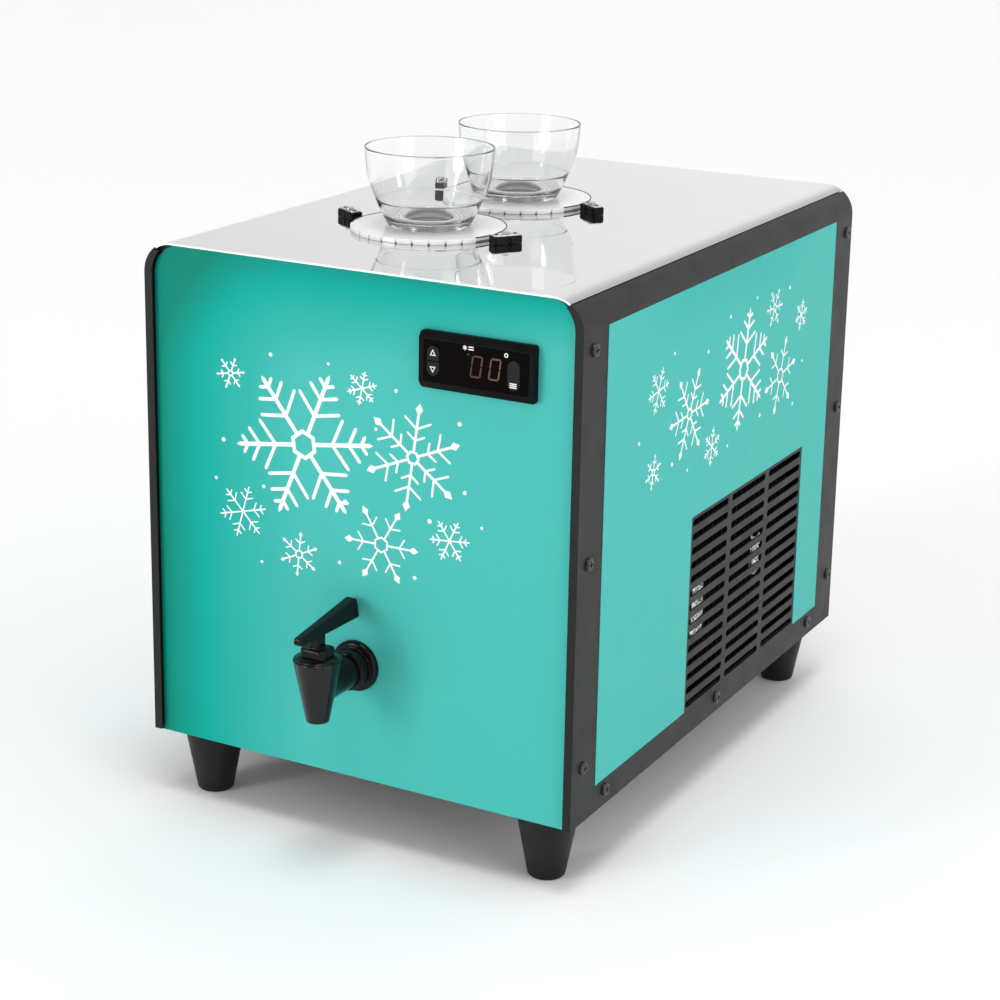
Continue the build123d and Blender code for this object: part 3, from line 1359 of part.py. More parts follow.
with BuildPart() as fan_rotor:
    with BuildSketch(side_plane(hub_left)):
        with Locations(fan_spot):
            Circle(FAN_HUB_RADIUS)
    extrude(amount=FAN_HUB_DEPTH)
    fillet(fan_rotor.edges().group_by(Axis.X)[-1], FAN_STRUT_WIDTH / 2)
    with BuildSketch(side_plane(fan_left)):
        with Locations(fan_spot):
            Circle(FAN_SHAFT_RADIUS)
    extrude(amount=FAN_MOTOR_DEPTH)
    for blade in range(FAN_BLADES):
        angle = radians(360 / FAN_BLADES * blade)
        outward = (0, cos(angle), sin(angle))
        root = Plane(
            origin=(hub_left + FAN_HUB_DEPTH / 2, condenser_y, fan_z), x_dir=(1, 0, 0), z_dir=outward
        )
        with BuildSketch(root):
            Rectangle(FAN_BLADE_CHORD, FAN_BLADE_THICKNESS, rotation=FAN_BLADE_PITCH)
        extrude(amount=FAN_BORE - FAN_TIP_GAP)
    with BuildSketch(side_plane(fan_left)):
        with Locations(fan_spot):
            Circle(FAN_SIZE)
            Circle(FAN_BORE - FAN_TIP_GAP, mode=Mode.SUBTRACT)
    extrude(amount=FAN_DEPTH, mode=Mode.SUBTRACT)
save(fan_rotor.part, "fan_rotor")

# Refrigerant lines, each butted to the stubs it is brazed to
discharge_line = tube_along(
    [
        (port_end + BRAZE_GAP, port_y, port_z),
        (condenser_x, port_y, port_z),
        (condenser_x, port_y, pass_zs[0]),
        (condenser_x, hot_end[1] + BRAZE_GAP, pass_zs[0]),
    ],
    LINE_BEND,
    LINE_RADIUS,
)
save(discharge_line, "discharge_line")

drier_x = condenser_x - DRIER_FROM_CONDENSER
drier_y = cool_end[1] + LINE_REACH
drier_low = cool_end[2] + LINE_REACH
with BuildPart() as liquid_line:
    with BuildLine() as route:
        FilletPolyline(
            (condenser_x, cool_end[1] + BRAZE_GAP, cool_end[2]),
            (condenser_x, drier_y, cool_end[2]),
            (drier_x, drier_y, cool_end[2]),
            (drier_x, drier_y, drier_low + DRIER_TAPER),
            radius=LINE_BEND,
        )
    with BuildSketch(Plane(origin=route.line @ 0, z_dir=route.line % 0)):
        Circle(LINE_RADIUS)
    sweep()
    with BuildSketch(standing(drier_x, drier_y)):
        with BuildLine():
            Polyline(
                (0, drier_low),
                (LINE_RADIUS, drier_low),
                (DRIER_RADIUS, drier_low + DRIER_TAPER),
                (DRIER_RADIUS, drier_low + DRIER_LENGTH - DRIER_TAPER),
                (CAPILLARY_RADIUS, drier_low + DRIER_LENGTH),
                (0, drier_low + DRIER_LENGTH),
                close=True,
            )
        make_face()
    revolve(axis=upright(drier_x, drier_y))
save(liquid_line.part, "liquid_line")

capillary_z = condenser_bottom + CONDENSER_HEIGHT + LINE_REACH / 2
capillary_y = tank_y - tank_length / 2 - INSULATION - LINE_REACH
capillary_tube = tube_along(
    [
        (drier_x, drier_y, drier_low + DRIER_LENGTH + BRAZE_GAP),
        (drier_x, drier_y, capillary_z),
        (drier_x, capillary_y, capillary_z),
        (coil_inlet[0], capillary_y, capillary_z),
        (coil_inlet[0], capillary_y, coil_z),
        (coil_inlet[0], coil_inlet[1] - BRAZE_GAP, coil_z),
    ],
    LINE_BEND,
    CAPILLARY_RADIUS,
)
save(capillary_tube, "capillary_tube")

suction_line = tube_along(
    [
        (suction_x, coil_outlet[1] + BRAZE_GAP, coil_z),
        (suction_x, suction_y, coil_z),
        (suction_x, suction_y, pot_top + PORT_LENGTH + BRAZE_GAP),
    ],
    LINE_BEND,
    LINE_RADIUS,
)
save(suction_line, "suction_line")

# Power inlet with three pins in a hooded recess
with BuildPart() as power_inlet:
    with BuildSketch(front_plane(rear_face)):
        with Locations(inlet_spot):
            RectangleRounded(INLET_WIDTH, INLET_FACE, INLET_CORNER)
    extrude(amount=-INLET_FLANGE)
    with BuildSketch(front_plane(rear_face)):
        with Locations(inlet_spot):
            Rectangle(*INLET_BODY)
    extrude(amount=INLET_DEPTH)
    with BuildSketch(front_plane(rear_face + INLET_FLANGE)):
        with Locations(inlet_spot):
            RectangleRounded(
                INLET_BODY[0] - 2 * INLET_WALL, INLET_BODY[1] - 2 * INLET_WALL, INLET_CORNER
            )
    extrude(amount=INLET_FLANGE + INLET_DEPTH - INLET_WALL, mode=Mode.SUBTRACT)
    pin_root = rear_face - INLET_DEPTH + INLET_WALL
    with BuildSketch(front_plane(pin_root)):
        with Locations(inlet_spot):
            with Locations(
                (-INLET_PIN_SPACING, 0), (INLET_PIN_SPACING, 0), (0, INLET_EARTH_RISE)
            ):
                Rectangle(INLET_PIN[0], INLET_PIN[1])
    extrude(amount=-INLET_PIN[2])
save(power_inlet.part, "power_inlet")

# Power switch: a housing with a rocker on two trunnions
rocker_cavity = (SWITCH_BODY[0] - 2 * SWITCH_WALL, SWITCH_BODY[1] - 2 * SWITCH_WALL)
with BuildPart() as switch_housing:
    with BuildSketch(front_plane(rear_face)):
        with Locations(switch_spot):
            RectangleRounded(*SWITCH_FACE, SWITCH_WALL)
    extrude(amount=-SWITCH_FLANGE)
    with BuildSketch(front_plane(rear_face)):
        with Locations(switch_spot):
            Rectangle(*SWITCH_BODY)
    extrude(amount=SWITCH_DEPTH)
    with BuildSketch(front_plane(rear_face + SWITCH_FLANGE)):
        with Locations(switch_spot):
            Rectangle(*rocker_cavity)
    extrude(amount=SWITCH_FLANGE + SWITCH_DEPTH - SWITCH_WALL, mode=Mode.SUBTRACT)
    with BuildSketch(side_plane(inlet_x)):
        with Locations((rear_face, switch_spot[1])):
            Circle(TRUNNION_RADIUS + RUNNING_GAP)
    extrude(
        amount=rocker_cavity[0] / 2 + TRUNNION_LENGTH + RUNNING_GAP, both=True, mode=Mode.SUBTRACT
    )
save(switch_housing.part, "switch_housing")

rocker_plane = Plane(
    origin=(inlet_x - rocker_cavity[0] / 2 + ROCKER_GAP, rear_face, switch_spot[1]),
    x_dir=(0, cos(radians(ROCKER_TILT)), sin(radians(ROCKER_TILT))),
    z_dir=(1, 0, 0),
)
with BuildPart() as switch_rocker:
    with BuildSketch(rocker_plane):
        with BuildLine():
            rise = rocker_cavity[1] / 2 - ROCKER_GAP
            dip = rise * sin(radians(ROCKER_TILT))
            Polyline(
                (-ROCKER_HEIGHT + dip, rise / 2),
                (ROCKER_PROUD, rise - dip / 2),
                (ROCKER_PROUD - dip, 0),
                (ROCKER_PROUD, dip / 2 - rise),
                (-ROCKER_HEIGHT + dip, -rise / 2),
                close=True,
            )
        make_face()
    extrude(amount=rocker_cavity[0] - 2 * ROCKER_GAP)
    with BuildSketch(side_plane(inlet_x)):
        with Locations((rear_face, switch_spot[1])):
            Circle(TRUNNION_RADIUS)
    extrude(amount=rocker_cavity[0] / 2 + TRUNNION_LENGTH, both=True)
save(switch_rocker.part, "switch_rocker")
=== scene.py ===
"""Looks of a chilled two-bottle spirit dispenser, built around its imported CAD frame."""

import json
import math

import bmesh
import bpy
from mathutils import Matrix, Vector, noise


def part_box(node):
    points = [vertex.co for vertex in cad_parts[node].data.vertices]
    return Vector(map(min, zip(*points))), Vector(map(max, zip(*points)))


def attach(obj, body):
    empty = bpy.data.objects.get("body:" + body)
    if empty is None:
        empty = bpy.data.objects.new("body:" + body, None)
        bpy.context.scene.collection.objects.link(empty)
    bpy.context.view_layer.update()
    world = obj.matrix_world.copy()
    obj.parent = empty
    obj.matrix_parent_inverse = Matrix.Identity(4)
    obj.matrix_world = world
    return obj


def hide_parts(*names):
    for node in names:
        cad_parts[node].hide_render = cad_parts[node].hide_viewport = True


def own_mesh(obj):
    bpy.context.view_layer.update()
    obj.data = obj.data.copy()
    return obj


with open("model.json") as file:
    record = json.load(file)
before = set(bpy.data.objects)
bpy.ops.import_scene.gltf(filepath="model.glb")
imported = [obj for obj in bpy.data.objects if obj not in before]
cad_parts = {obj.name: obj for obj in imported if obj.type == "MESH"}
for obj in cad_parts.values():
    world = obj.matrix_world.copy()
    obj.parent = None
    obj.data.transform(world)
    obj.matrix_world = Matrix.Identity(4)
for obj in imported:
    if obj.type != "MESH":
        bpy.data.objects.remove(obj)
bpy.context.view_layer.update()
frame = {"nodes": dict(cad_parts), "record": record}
nodes = frame["nodes"]
slot_of = {part["node"]: part["material_slot"] for part in frame["record"]["subparts"]}

MM = 0.001


# Shader building

NOISE_LOW, NOISE_HIGH = 0.3, 0.7
FACE_TURN, EDGE_TURN = 0.98, 0.75
BEVEL_SAMPLES = 4


class Shader:
    """A node material with one principled shader, and short calls for the nodes used here."""

    def __init__(self, name, **constants):
        self.material = bpy.data.materials.new(name)
        self.material.use_nodes = True
        self.tree = self.material.node_tree
        self.shader = self.tree.nodes["Principled BSDF"]
        self.place = self.add("ShaderNodeTexCoord").outputs["Object"]
        for socket, value in constants.items():
            self.shader.inputs[socket.replace("_", " ")].default_value = value

    def add(self, kind, **settings):
        node = self.tree.nodes.new(kind)
        for key, value in settings.items():
            setattr(node, key, value)
        return node

    def put(self, socket, value):
        if isinstance(value, bpy.types.NodeSocket):
            self.tree.links.new(value, socket)
        else:
            socket.default_value = value

    def math(self, operation, first, second=0.0, clamp=False):
        node = self.add("ShaderNodeMath", operation=operation, use_clamp=clamp)
        for socket, value in zip(node.inputs, (first, second)):
            self.put(socket, value)
        return node.outputs[0]

    def stretched(self, factors):
        node = self.add("ShaderNodeVectorMath", operation="MULTIPLY")
        self.put(node.inputs[0], self.place)
        node.inputs[1].default_value = factors
        return node.outputs[0]

    def noise(self, scale, detail=2.0, roughness=0.5, stretch=None):
        node = self.add("ShaderNodeTexNoise")
        self.put(node.inputs["Vector"], self.stretched(stretch) if stretch else self.place)
        node.inputs["Scale"].default_value = scale
        node.inputs["Detail"].default_value = detail
        node.inputs["Roughness"].default_value = roughness
        return node.outputs["Fac"]

    def cells(self, scale, output="Distance"):
        node = self.add("ShaderNodeTexVoronoi")
        self.put(node.inputs["Vector"], self.place)
        node.inputs["Scale"].default_value = scale
        return node.outputs[output]

    def axes(self):
        """The surface point's x, y and z in the part's frame, in millimetres."""
        node = self.add("ShaderNodeSeparateXYZ")
        self.put(node.inputs[0], self.stretched((1 / MM, 1 / MM, 1 / MM)))
        return node.outputs

    def span(self, value, low, high, start=0.0, end=1.0, smooth=False):
        node = self.add("ShaderNodeMapRange")
        node.interpolation_type = "SMOOTHSTEP" if smooth else "LINEAR"
        for socket, item in zip(node.inputs, (value, low, high, start, end)):
            self.put(socket, item)
        return node.outputs[0]

    def spread(self, pattern, start, end):
        """The middle range of a noise pattern spread over two values."""
        return self.span(pattern, NOISE_LOW, NOISE_HIGH, start, end)

    def ramp(self, value, stops):
        node = self.add("ShaderNodeValToRGB")
        ramp = node.color_ramp
        while len(ramp.elements) < len(stops):
            ramp.elements.new(1.0)
        for element, (position, colour) in zip(ramp.elements, stops):
            element.position = position
            element.color = (*colour, 1.0)
        self.put(node.inputs[0], value)
        return node.outputs[0]

    def drift(self, pattern, dark, light):
        """The middle range of a noise pattern drifting between two colours."""
        return self.ramp(pattern, [(NOISE_LOW, dark), (NOISE_HIGH, light)])

    def blend(self, share, first, second):
        node = self.add("ShaderNodeMix", data_type="RGBA")
        self.put(node.inputs[0], share)
        for socket, value in zip((node.inputs[6], node.inputs[7]), (first, second)):
            self.put(socket, value if isinstance(value, bpy.types.NodeSocket) else (*value, 1.0))
        return node.outputs[2]

    def edges(self, radius):
        """Near 1 along edges and near 0 on open faces, from how far a rounded normal turns away."""
        true = self.add("ShaderNodeNewGeometry")
        dot = self.add("ShaderNodeVectorMath", operation="DOT_PRODUCT")
        self.put(dot.inputs[0], self.rounded(radius))
        self.put(dot.inputs[1], true.outputs["Normal"])
        return self.span(dot.outputs["Value"], FACE_TURN, EDGE_TURN)

    def rounded(self, radius):
        """The surface normal as if edges were rounded to a radius."""
        node = self.add("ShaderNodeBevel", samples=BEVEL_SAMPLES)
        node.inputs["Radius"].default_value = radius
        return node.outputs[0]

    def bump(self, height, strength, distance, rounding=0.0):
        node = self.add("ShaderNodeBump")
        node.inputs["Strength"].default_value = strength
        node.inputs["Distance"].default_value = distance
        self.put(node.inputs["Height"], height)
        if rounding:
            self.put(node.inputs["Normal"], self.rounded(rounding))
        return node.outputs[0]

    def colour(self, value):
        self.put(self.shader.inputs["Base Color"], value)

    def rough(self, value):
        self.put(self.shader.inputs["Roughness"], value)

    def normal(self, value):
        self.put(self.shader.inputs["Normal"], value)


def finish(name, dark, light, gloss, drift=25.0, grain=900.0, relief=0.08, rounding=0.0, **constants):
    """A finish whose tone drifts between two colours, with uneven gloss and a fine grain."""
    s = Shader(name, **constants)
    s.colour(s.ramp(s.noise(drift, 4.0, 0.6), [(0.32, dark), (0.68, light)]))
    s.rough(s.spread(s.noise(drift * 2.3, 3.0), *gloss))
    s.normal(s.bump(s.noise(grain, 2.0), relief, 0.2 * MM, rounding))
    return s


# Materials of the CAD pieces


def grey(level):
    return (level, level, level)


def powder_coat():
    """Satin black powder coat: orange-peel skin, and thin lighter edges that are edge wear and a painted
    highlight.
    """
    s = Shader("powder_coat", Specular_IOR_Level=0.2)
    # Lighter edges: edge wear and a painted edge highlight.
    wear_and_highlight = s.math("MULTIPLY", s.edges(0.5 * MM), s.span(s.noise(160.0, 4.0), 0.42, 0.66))
    tone = s.drift(s.noise(9.0, 4.0), grey(0.0095), grey(0.0135))
    s.colour(s.blend(s.math("MULTIPLY", wear_and_highlight, 0.5), tone, grey(0.09)))
    s.rough(s.spread(s.noise(45.0, 3.0), 0.36, 0.46))
    peel = s.math("ADD", s.noise(700.0, 2.0), s.math("MULTIPLY", s.noise(2600.0, 1.0), 0.4))
    s.normal(s.bump(peel, 0.16, 0.12 * MM, 0.4 * MM))
    return s


# FILM_MAIN is the film's own teal; the two darker stops are painted shade.
FILM_MAIN = (0.066, 0.488, 0.440)
FILM_HALF_SHADE = (0.0, 0.385, 0.325)
FILM_DEEP_SHADE = (0.0, 0.235, 0.170)
FILM_STOPS = [(0.0, FILM_DEEP_SHADE), (0.3, FILM_HALF_SHADE), (1.0, FILM_MAIN)]
FRONT_LEFT_REACH = 112.0
FRONT_TOP_REACH = (92.0, 30.0)
FRONT_TOP_DEPTH = 0.85
SIDE_TOP_REACH = 48.0
SIDE_TOP_DEPTH = 0.22
SIDE_TOP_FADE = (40.0, 190.0)


def vinyl(name, shade):
    """Printed vinyl film: satin skin, faint print mottling, soft ripple from being laid by hand."""
    s = Shader(name, Specular_IOR_Level=0.1)
    mottle = s.spread(s.noise(420.0, 3.0), -0.012, 0.012)
    cloud = s.spread(s.noise(14.0, 2.0), -0.02, 0.02)
    drift = s.math("ADD", mottle, cloud)
    # Each film's shade value moves its colour down the ramp into the painted shade stops.
    s.colour(s.ramp(s.math("ADD", shade(s), drift, clamp=True), FILM_STOPS))
    s.rough(s.spread(s.noise(60.0, 3.0), 0.4, 0.5))
    skin = s.math("ADD", s.noise(1500.0, 2.0), s.math("MULTIPLY", s.noise(20.0, 1.0), 3.0))
    s.normal(s.bump(skin, 0.05, 0.1 * MM))
    return s


def front_film():
    """Painted shade: the front film is darkened along its left and top edges and pales into the field."""
    low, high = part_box("front_graphic")

    def shade(s):
        x, _, z = s.axes()
        across = s.span(x, low.x / MM, high.x / MM)
        left = s.span(x, low.x / MM, low.x / MM + FRONT_LEFT_REACH, 1.0, 0.0)
        reach = s.span(across, 0.0, 1.0, *FRONT_TOP_REACH)
        depth = s.math("SUBTRACT", high.z / MM, z)
        top = s.math("SUBTRACT", 1.0, s.math("DIVIDE", depth, reach), clamp=True)
        top = s.math("MULTIPLY", top, FRONT_TOP_DEPTH)
        both = s.math("SQRT", s.math("ADD", s.math("POWER", left, 2.0), s.math("POWER", top, 2.0)))
        return s.math("SUBTRACT", 1.0, both, clamp=True)

    return vinyl("front_film", shade)


def side_film(node):
    """Painted shade: the side film is a touch darker along the middle of its top edge."""
    low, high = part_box(node)

    def shade(s):
        _, y, z = s.axes()
        top = s.span(z, high.z / MM - SIDE_TOP_REACH, high.z / MM, 0.0, SIDE_TOP_DEPTH, smooth=True)
        middle = (low.y + high.y) / 2 / MM
        away = s.math("ABSOLUTE", s.math("SUBTRACT", y, middle))
        near = s.span(away, *SIDE_TOP_FADE, 1.0, 0.0, smooth=True)
        return s.math("SUBTRACT", 1.0, s.math("MULTIPLY", top, near), clamp=True)

    return vinyl("side_film_" + node, shade)


CUT_EDGE = (0.05, 0.35)
ROLL_REACH = (0.5, 8.0)
ROLL_REFLECTION_DEPTH = 0.75
ROLL_DARK_REFLECTION = (0.33, 0.32, 0.35)


def polished_steel():
    """Mirror-polished sheet: fine lines, slow waves and wiped smears, with a painted highlight on the cut
    edges and a painted dark reflection on the rolled edges.
    """
    s = Shader("polished_steel")
    tone = s.drift(s.noise(6.0, 3.0), grey(0.685), (0.725, 0.727, 0.733))
    x, y, _ = s.axes()
    low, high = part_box("top_panel")
    to_edge = s.math("MINIMUM", s.math("SUBTRACT", y, low.y / MM), s.math("SUBTRACT", high.y / MM, y))
    # Painted highlight: the cut front and rear edges are light grey and barely metallic.
    cut_highlight = s.span(to_edge, *CUT_EDGE, 1.0, 0.0)
    to_seam = s.math("SUBTRACT", high.x / MM, s.math("ABSOLUTE", x))
    # Painted dark reflection: the rolled long edges turn a darker purple grey.
    roll = s.span(to_seam, *ROLL_REACH, ROLL_REFLECTION_DEPTH, 0.0, smooth=True)
    s.colour(s.blend(cut_highlight, s.blend(roll, tone, ROLL_DARK_REFLECTION), grey(0.9)))
    s.put(s.shader.inputs["Metallic"], s.span(cut_highlight, 0.0, 1.0, 1.0, 0.15))
    lines = s.noise(900.0, 3.0, 0.7, stretch=(1.0, 0.02, 1.0))
    smear = s.span(s.noise(16.0, 4.0, 0.65, stretch=(1.0, 0.45, 1.0)), 0.45, 0.75, 0.0, 0.014)
    s.rough(s.math("ADD", s.span(lines, 0.35, 0.7, 0.01, 0.026), smear))
    wave = s.math("ADD", s.noise(5.0, 1.0), s.math("MULTIPLY", lines, 0.004))
    s.normal(s.bump(wave, 0.12, 0.6 * MM))
    return s


RING_PITCH = 2.4
FINE_RING_PITCH = 14.0


def turned_steel(node):
    """Satin steel turned on a lathe, with fine rings about the sleeve's own axis."""
    low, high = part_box(node)
    s = Shader("turned_steel_" + node, Metallic=0.15)
    x, y, z = s.axes()
    across = s.math("SUBTRACT", x, (low.x + high.x) / 2 / MM)
    along = s.math("SUBTRACT", y, (low.y + high.y) / 2 / MM)
    radius = s.math("SQRT", s.math("ADD", s.math("POWER", across, 2.0), s.math("POWER", along, 2.0)))
    coarse = s.math("SINE", s.math("MULTIPLY", s.math("ADD", radius, z), RING_PITCH))
    fine = s.math("SINE", s.math("MULTIPLY", radius, FINE_RING_PITCH))
    rings = s.math("ADD", s.math("MULTIPLY", coarse, 0.7), s.math("MULTIPLY", fine, 0.3))
    s.colour(s.ramp(s.span(rings, -1.0, 1.0), [(0.1, grey(0.40)), (0.9, grey(0.93))]))
    s.rough(s.spread(s.noise(140.0, 3.0), 0.26, 0.4))
    s.normal(s.bump(fine, 0.12, 0.05 * MM))
    return s


def clear_plastic():
    """Clear moulded cup: wiped smears, and a slow ripple left by the mould."""
    s = Shader("clear_cup", Transmission_Weight=1.0, IOR=1.47)
    s.colour(s.drift(s.noise(30.0, 2.0), (0.955, 0.965, 0.965), (0.985, 0.99, 0.99)))
    s.rough(s.span(s.noise(55.0, 4.0, 0.6), 0.45, 0.8, 0.0, 0.03))
    s.normal(s.bump(s.noise(70.0, 1.0), 0.06, 0.3 * MM))
    return s


HIGHLIGHT_PLATE_LINE = (0.77, 0.72)


def clamp_black():
    """Black moulded clamp whose top is a bright metal plate, a painted highlight for the gloss on its top.
    """
    s = Shader("clamp_black", Specular_IOR_Level=0.1)
    _, _, z = s.axes()
    plate_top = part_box("clamp_front_left")[1].z / MM
    # Painted highlight: the band above the plate line is coloured as bright metal.
    highlight_plate = s.span(z, plate_top - HIGHLIGHT_PLATE_LINE[0], plate_top - HIGHLIGHT_PLATE_LINE[1])
    black = s.drift(s.noise(60.0, 3.0), grey(0.003), grey(0.006))
    highlight_metal = s.drift(s.noise(300.0, 3.0), grey(0.5), grey(0.68))
    s.colour(s.blend(highlight_plate, black, highlight_metal))
    s.put(s.shader.inputs["Metallic"], s.math("MULTIPLY", highlight_plate, 0.85))
    s.rough(s.spread(s.noise(120.0, 3.0), 0.2, 0.34))
    s.normal(s.bump(s.noise(900.0, 2.0), 0.06, 0.15 * MM, 0.35 * MM))
    return s


CONE_BACK = 6.0
CONE_FADE = 8.0
CONE_DROP = 1.0
ARM_GLOSS, CONE_GLOSS, EDGE_GLOSS = 0.16, 0.46, 0.8


def tap_black():
    """Glossy black moulded tap: clear gloss on the spout's cone, thinner on the arm and the lever."""
    s = Shader("tap_black", Specular_IOR_Level=0.08, Coat_Roughness=0.08)
    _, y, z = s.axes()
    low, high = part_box("tap_bonnet")
    cone_back = (low.y + high.y) / 2 / MM + CONE_BACK
    forward = s.span(y, cone_back, cone_back + CONE_FADE, 1.0, 0.0)
    on_cone = s.math("MULTIPLY", forward, s.math("LESS_THAN", z, high.z / MM - CONE_DROP))
    edges = s.edges(0.9 * MM)
    along_edges = s.math("MULTIPLY", edges, EDGE_GLOSS)
    gloss = s.math("MAXIMUM", s.span(on_cone, 0.0, 1.0, ARM_GLOSS, CONE_GLOSS), along_edges)
    s.put(s.shader.inputs["Coat Weight"], gloss)
    # Lighter edges: edge wear and a painted edge highlight.
    wear_and_highlight = s.math("MULTIPLY", edges, s.span(s.noise(120.0, 3.0), 0.5, 0.72))
    # The faint red cast is painted in to offset the teal reflected from the film onto the tap.
    tone = s.drift(s.noise(40.0, 3.0), (0.0046, 0.0040, 0.0040), (0.0070, 0.0060, 0.0060))
    s.colour(s.blend(s.math("MULTIPLY", wear_and_highlight, 0.35), tone, grey(0.04)))
    s.rough(s.spread(s.noise(80.0, 3.0), 0.16, 0.26))
    skin = s.bump(s.noise(140.0, 2.0), 0.04, 0.3 * MM, 0.8 * MM)
    s.normal(skin)
    s.put(s.shader.inputs["Coat Normal"], skin)
    return s


def foam():
    """Pale sprayed foam with a skin of small open cells."""
    s = Shader("foam", Specular_IOR_Level=0.2)
    s.colour(s.drift(s.noise(40.0, 4.0), (0.62, 0.52, 0.30), (0.76, 0.67, 0.44)))
    s.rough(s.spread(s.noise(90.0, 2.0), 0.75, 0.9))
    s.normal(s.bump(s.cells(420.0), 0.5, 0.5 * MM))
    return s


def copper():
    """Bright drawn copper, dulled brown in patches."""
    s = Shader("copper", Metallic=1.0)
    tarnish = s.span(s.noise(60.0, 4.0, 0.6), 0.42, 0.68)
    s.colour(s.blend(tarnish, (0.80, 0.40, 0.24), (0.36, 0.17, 0.10)))
    s.rough(s.span(tarnish, 0.0, 1.0, 0.22, 0.42))
    s.normal(s.bump(s.noise(800.0, 2.0), 0.08, 0.1 * MM))
    return s


def galvanised():
    """Zinc-coated sheet with its crystal spangle."""
    s = Shader("galvanised", Metallic=1.0)
    spangle = s.cells(140.0, output="Color")
    s.colour(s.ramp(spangle, [(0.2, (0.42, 0.43, 0.44)), (0.8, (0.60, 0.61, 0.62))]))
    s.rough(s.spread(s.noise(90.0, 3.0), 0.38, 0.55))
    s.normal(s.bump(s.noise(500.0, 2.0), 0.08, 0.1 * MM))
    return s


def tank_steel():
    """Brushed stainless steel."""
    s = Shader("tank_steel", Metallic=1.0)
    lines = s.noise(1200.0, 2.0, stretch=(0.03, 1.0, 1.0))
    s.colour(s.drift(lines, grey(0.5), grey(0.62)))
    s.rough(s.spread(lines, 0.28, 0.4))
    s.normal(s.bump(lines, 0.08, 0.1 * MM))
    return s


def silicone():
    """Milky soft silicone."""
    s = finish("silicone", grey(0.62), grey(0.74), gloss=(0.4, 0.55), drift=80.0)
    s.shader.inputs["Subsurface Weight"].default_value = 0.3
    s.shader.inputs["Subsurface Radius"].default_value = (2 * MM, 2 * MM, 2 * MM)
    return s


def window_red():
    """Smoked dark red window."""
    s = Shader("window_red", Specular_IOR_Level=0.04)
    s.colour(s.drift(s.noise(50.0, 2.0), (0.0008, 0.0003, 0.0003), (0.0022, 0.0004, 0.0004)))
    s.rough(s.spread(s.noise(200.0, 3.0), 0.12, 0.2))
    s.normal(s.bump(s.noise(90.0, 1.0), 0.03, 0.2 * MM))
    return s


slot_materials = {
    "black_sheet": powder_coat(),
    "polished_steel": polished_steel(),
    "dark_screws": finish(
        "dark_screws", grey(0.03), grey(0.09), gloss=(0.24, 0.38), drift=300.0, grain=1500.0, relief=0.15,
        rounding=0.25 * MM, Metallic=0.75,
    ),
    "zinc_fasteners": finish(
        "zinc_fasteners", grey(0.42), (0.58, 0.57, 0.52), gloss=(0.28, 0.45), drift=200.0, grain=1200.0,
        relief=0.1, Metallic=1.0,
    ),
    "foot_rubber": finish(
        "foot_rubber", grey(0.0035), grey(0.007), gloss=(0.42, 0.55), drift=40.0, grain=1300.0,
        relief=0.14, rounding=0.6 * MM, Specular_IOR_Level=0.28,
    ),
    "clear_cup": clear_plastic(),
    "white_seat": finish(
        "white_seat", grey(0.86), grey(0.92), gloss=(0.12, 0.22), drift=35.0, grain=700.0, relief=0.03,
        rounding=0.4 * MM,
    ),
    "gasket_rubber": finish(
        "gasket_rubber", grey(0.36), grey(0.46), gloss=(0.6, 0.75), drift=120.0, grain=1600.0, relief=0.2
    ),
    "clamp_black": clamp_black(),
    "tap_black": tap_black(),
    "silicone": silicone(),
    "controller_black": finish(
        "controller_black", grey(0.0010), grey(0.0022), gloss=(0.3, 0.42), drift=60.0, grain=2200.0,
        relief=0.2, rounding=0.4 * MM, Specular_IOR_Level=0.09,
    ),
    "window_red": window_red(),
    "key_rubber": finish(
        "key_rubber", grey(0.010), grey(0.015), gloss=(0.55, 0.7), drift=200.0, grain=1900.0, relief=0.12,
        rounding=0.3 * MM, Specular_IOR_Level=0.15,
    ),
    "tank_steel": tank_steel(),
    "foam": foam(),
    "copper": copper(),
    "compressor_black": finish(
        "compressor_black", grey(0.006), grey(0.012), gloss=(0.25, 0.4), drift=30.0, grain=500.0,
        relief=0.1, rounding=0.5 * MM,
    ),
    "inner_plastic": finish(
        "inner_plastic", grey(0.006), grey(0.011), gloss=(0.4, 0.55), drift=60.0, grain=1500.0,
        relief=0.15, rounding=0.3 * MM,
    ),
    # Near-black fins: painted shade, so the condenser behind the right grille reads dark.
    "fin_aluminium": finish(
        "fin_shade_black", grey(0.004), grey(0.012), gloss=(0.4, 0.6), drift=120.0, grain=900.0, relief=0.2,
        Specular_IOR_Level=0.3,
    ),
    "galvanised": galvanised(),
}
node_materials = {
    "front_graphic": front_film(),
    "left_graphic": side_film("left_graphic"),
    "right_graphic": side_film("right_graphic"),
    "neck_sleeve_front": turned_steel("neck_sleeve_front"),
    "neck_sleeve_rear": turned_steel("neck_sleeve_rear"),
}
for name, node in nodes.items():
    shader = node_materials.get(name) or slot_materials[slot_of[name]]
    for socket in node.material_slots:
        socket.material = shader.material

print_white = finish(
    "print_white", grey(0.90), grey(0.94), gloss=(0.42, 0.55), drift=90.0, grain=1500.0, relief=0.05,
    Specular_IOR_Level=0.3,
)
# Near-black finish for the seat beads, which are painted shade, and for the dark clamp plugs.
shade_bead_and_plug_black = finish(
    "shade_bead_and_plug_black", grey(0.004), grey(0.012), gloss=(0.3, 0.45), drift=150.0, grain=1400.0, relief=0.1
)
foil = finish(
    "foil_tape", grey(0.66), grey(0.82), gloss=(0.18, 0.34), drift=120.0, grain=300.0, relief=0.6,
    Metallic=1.0,
)


GLOW_FROM, GLOW_TO = 84.0, 100.0


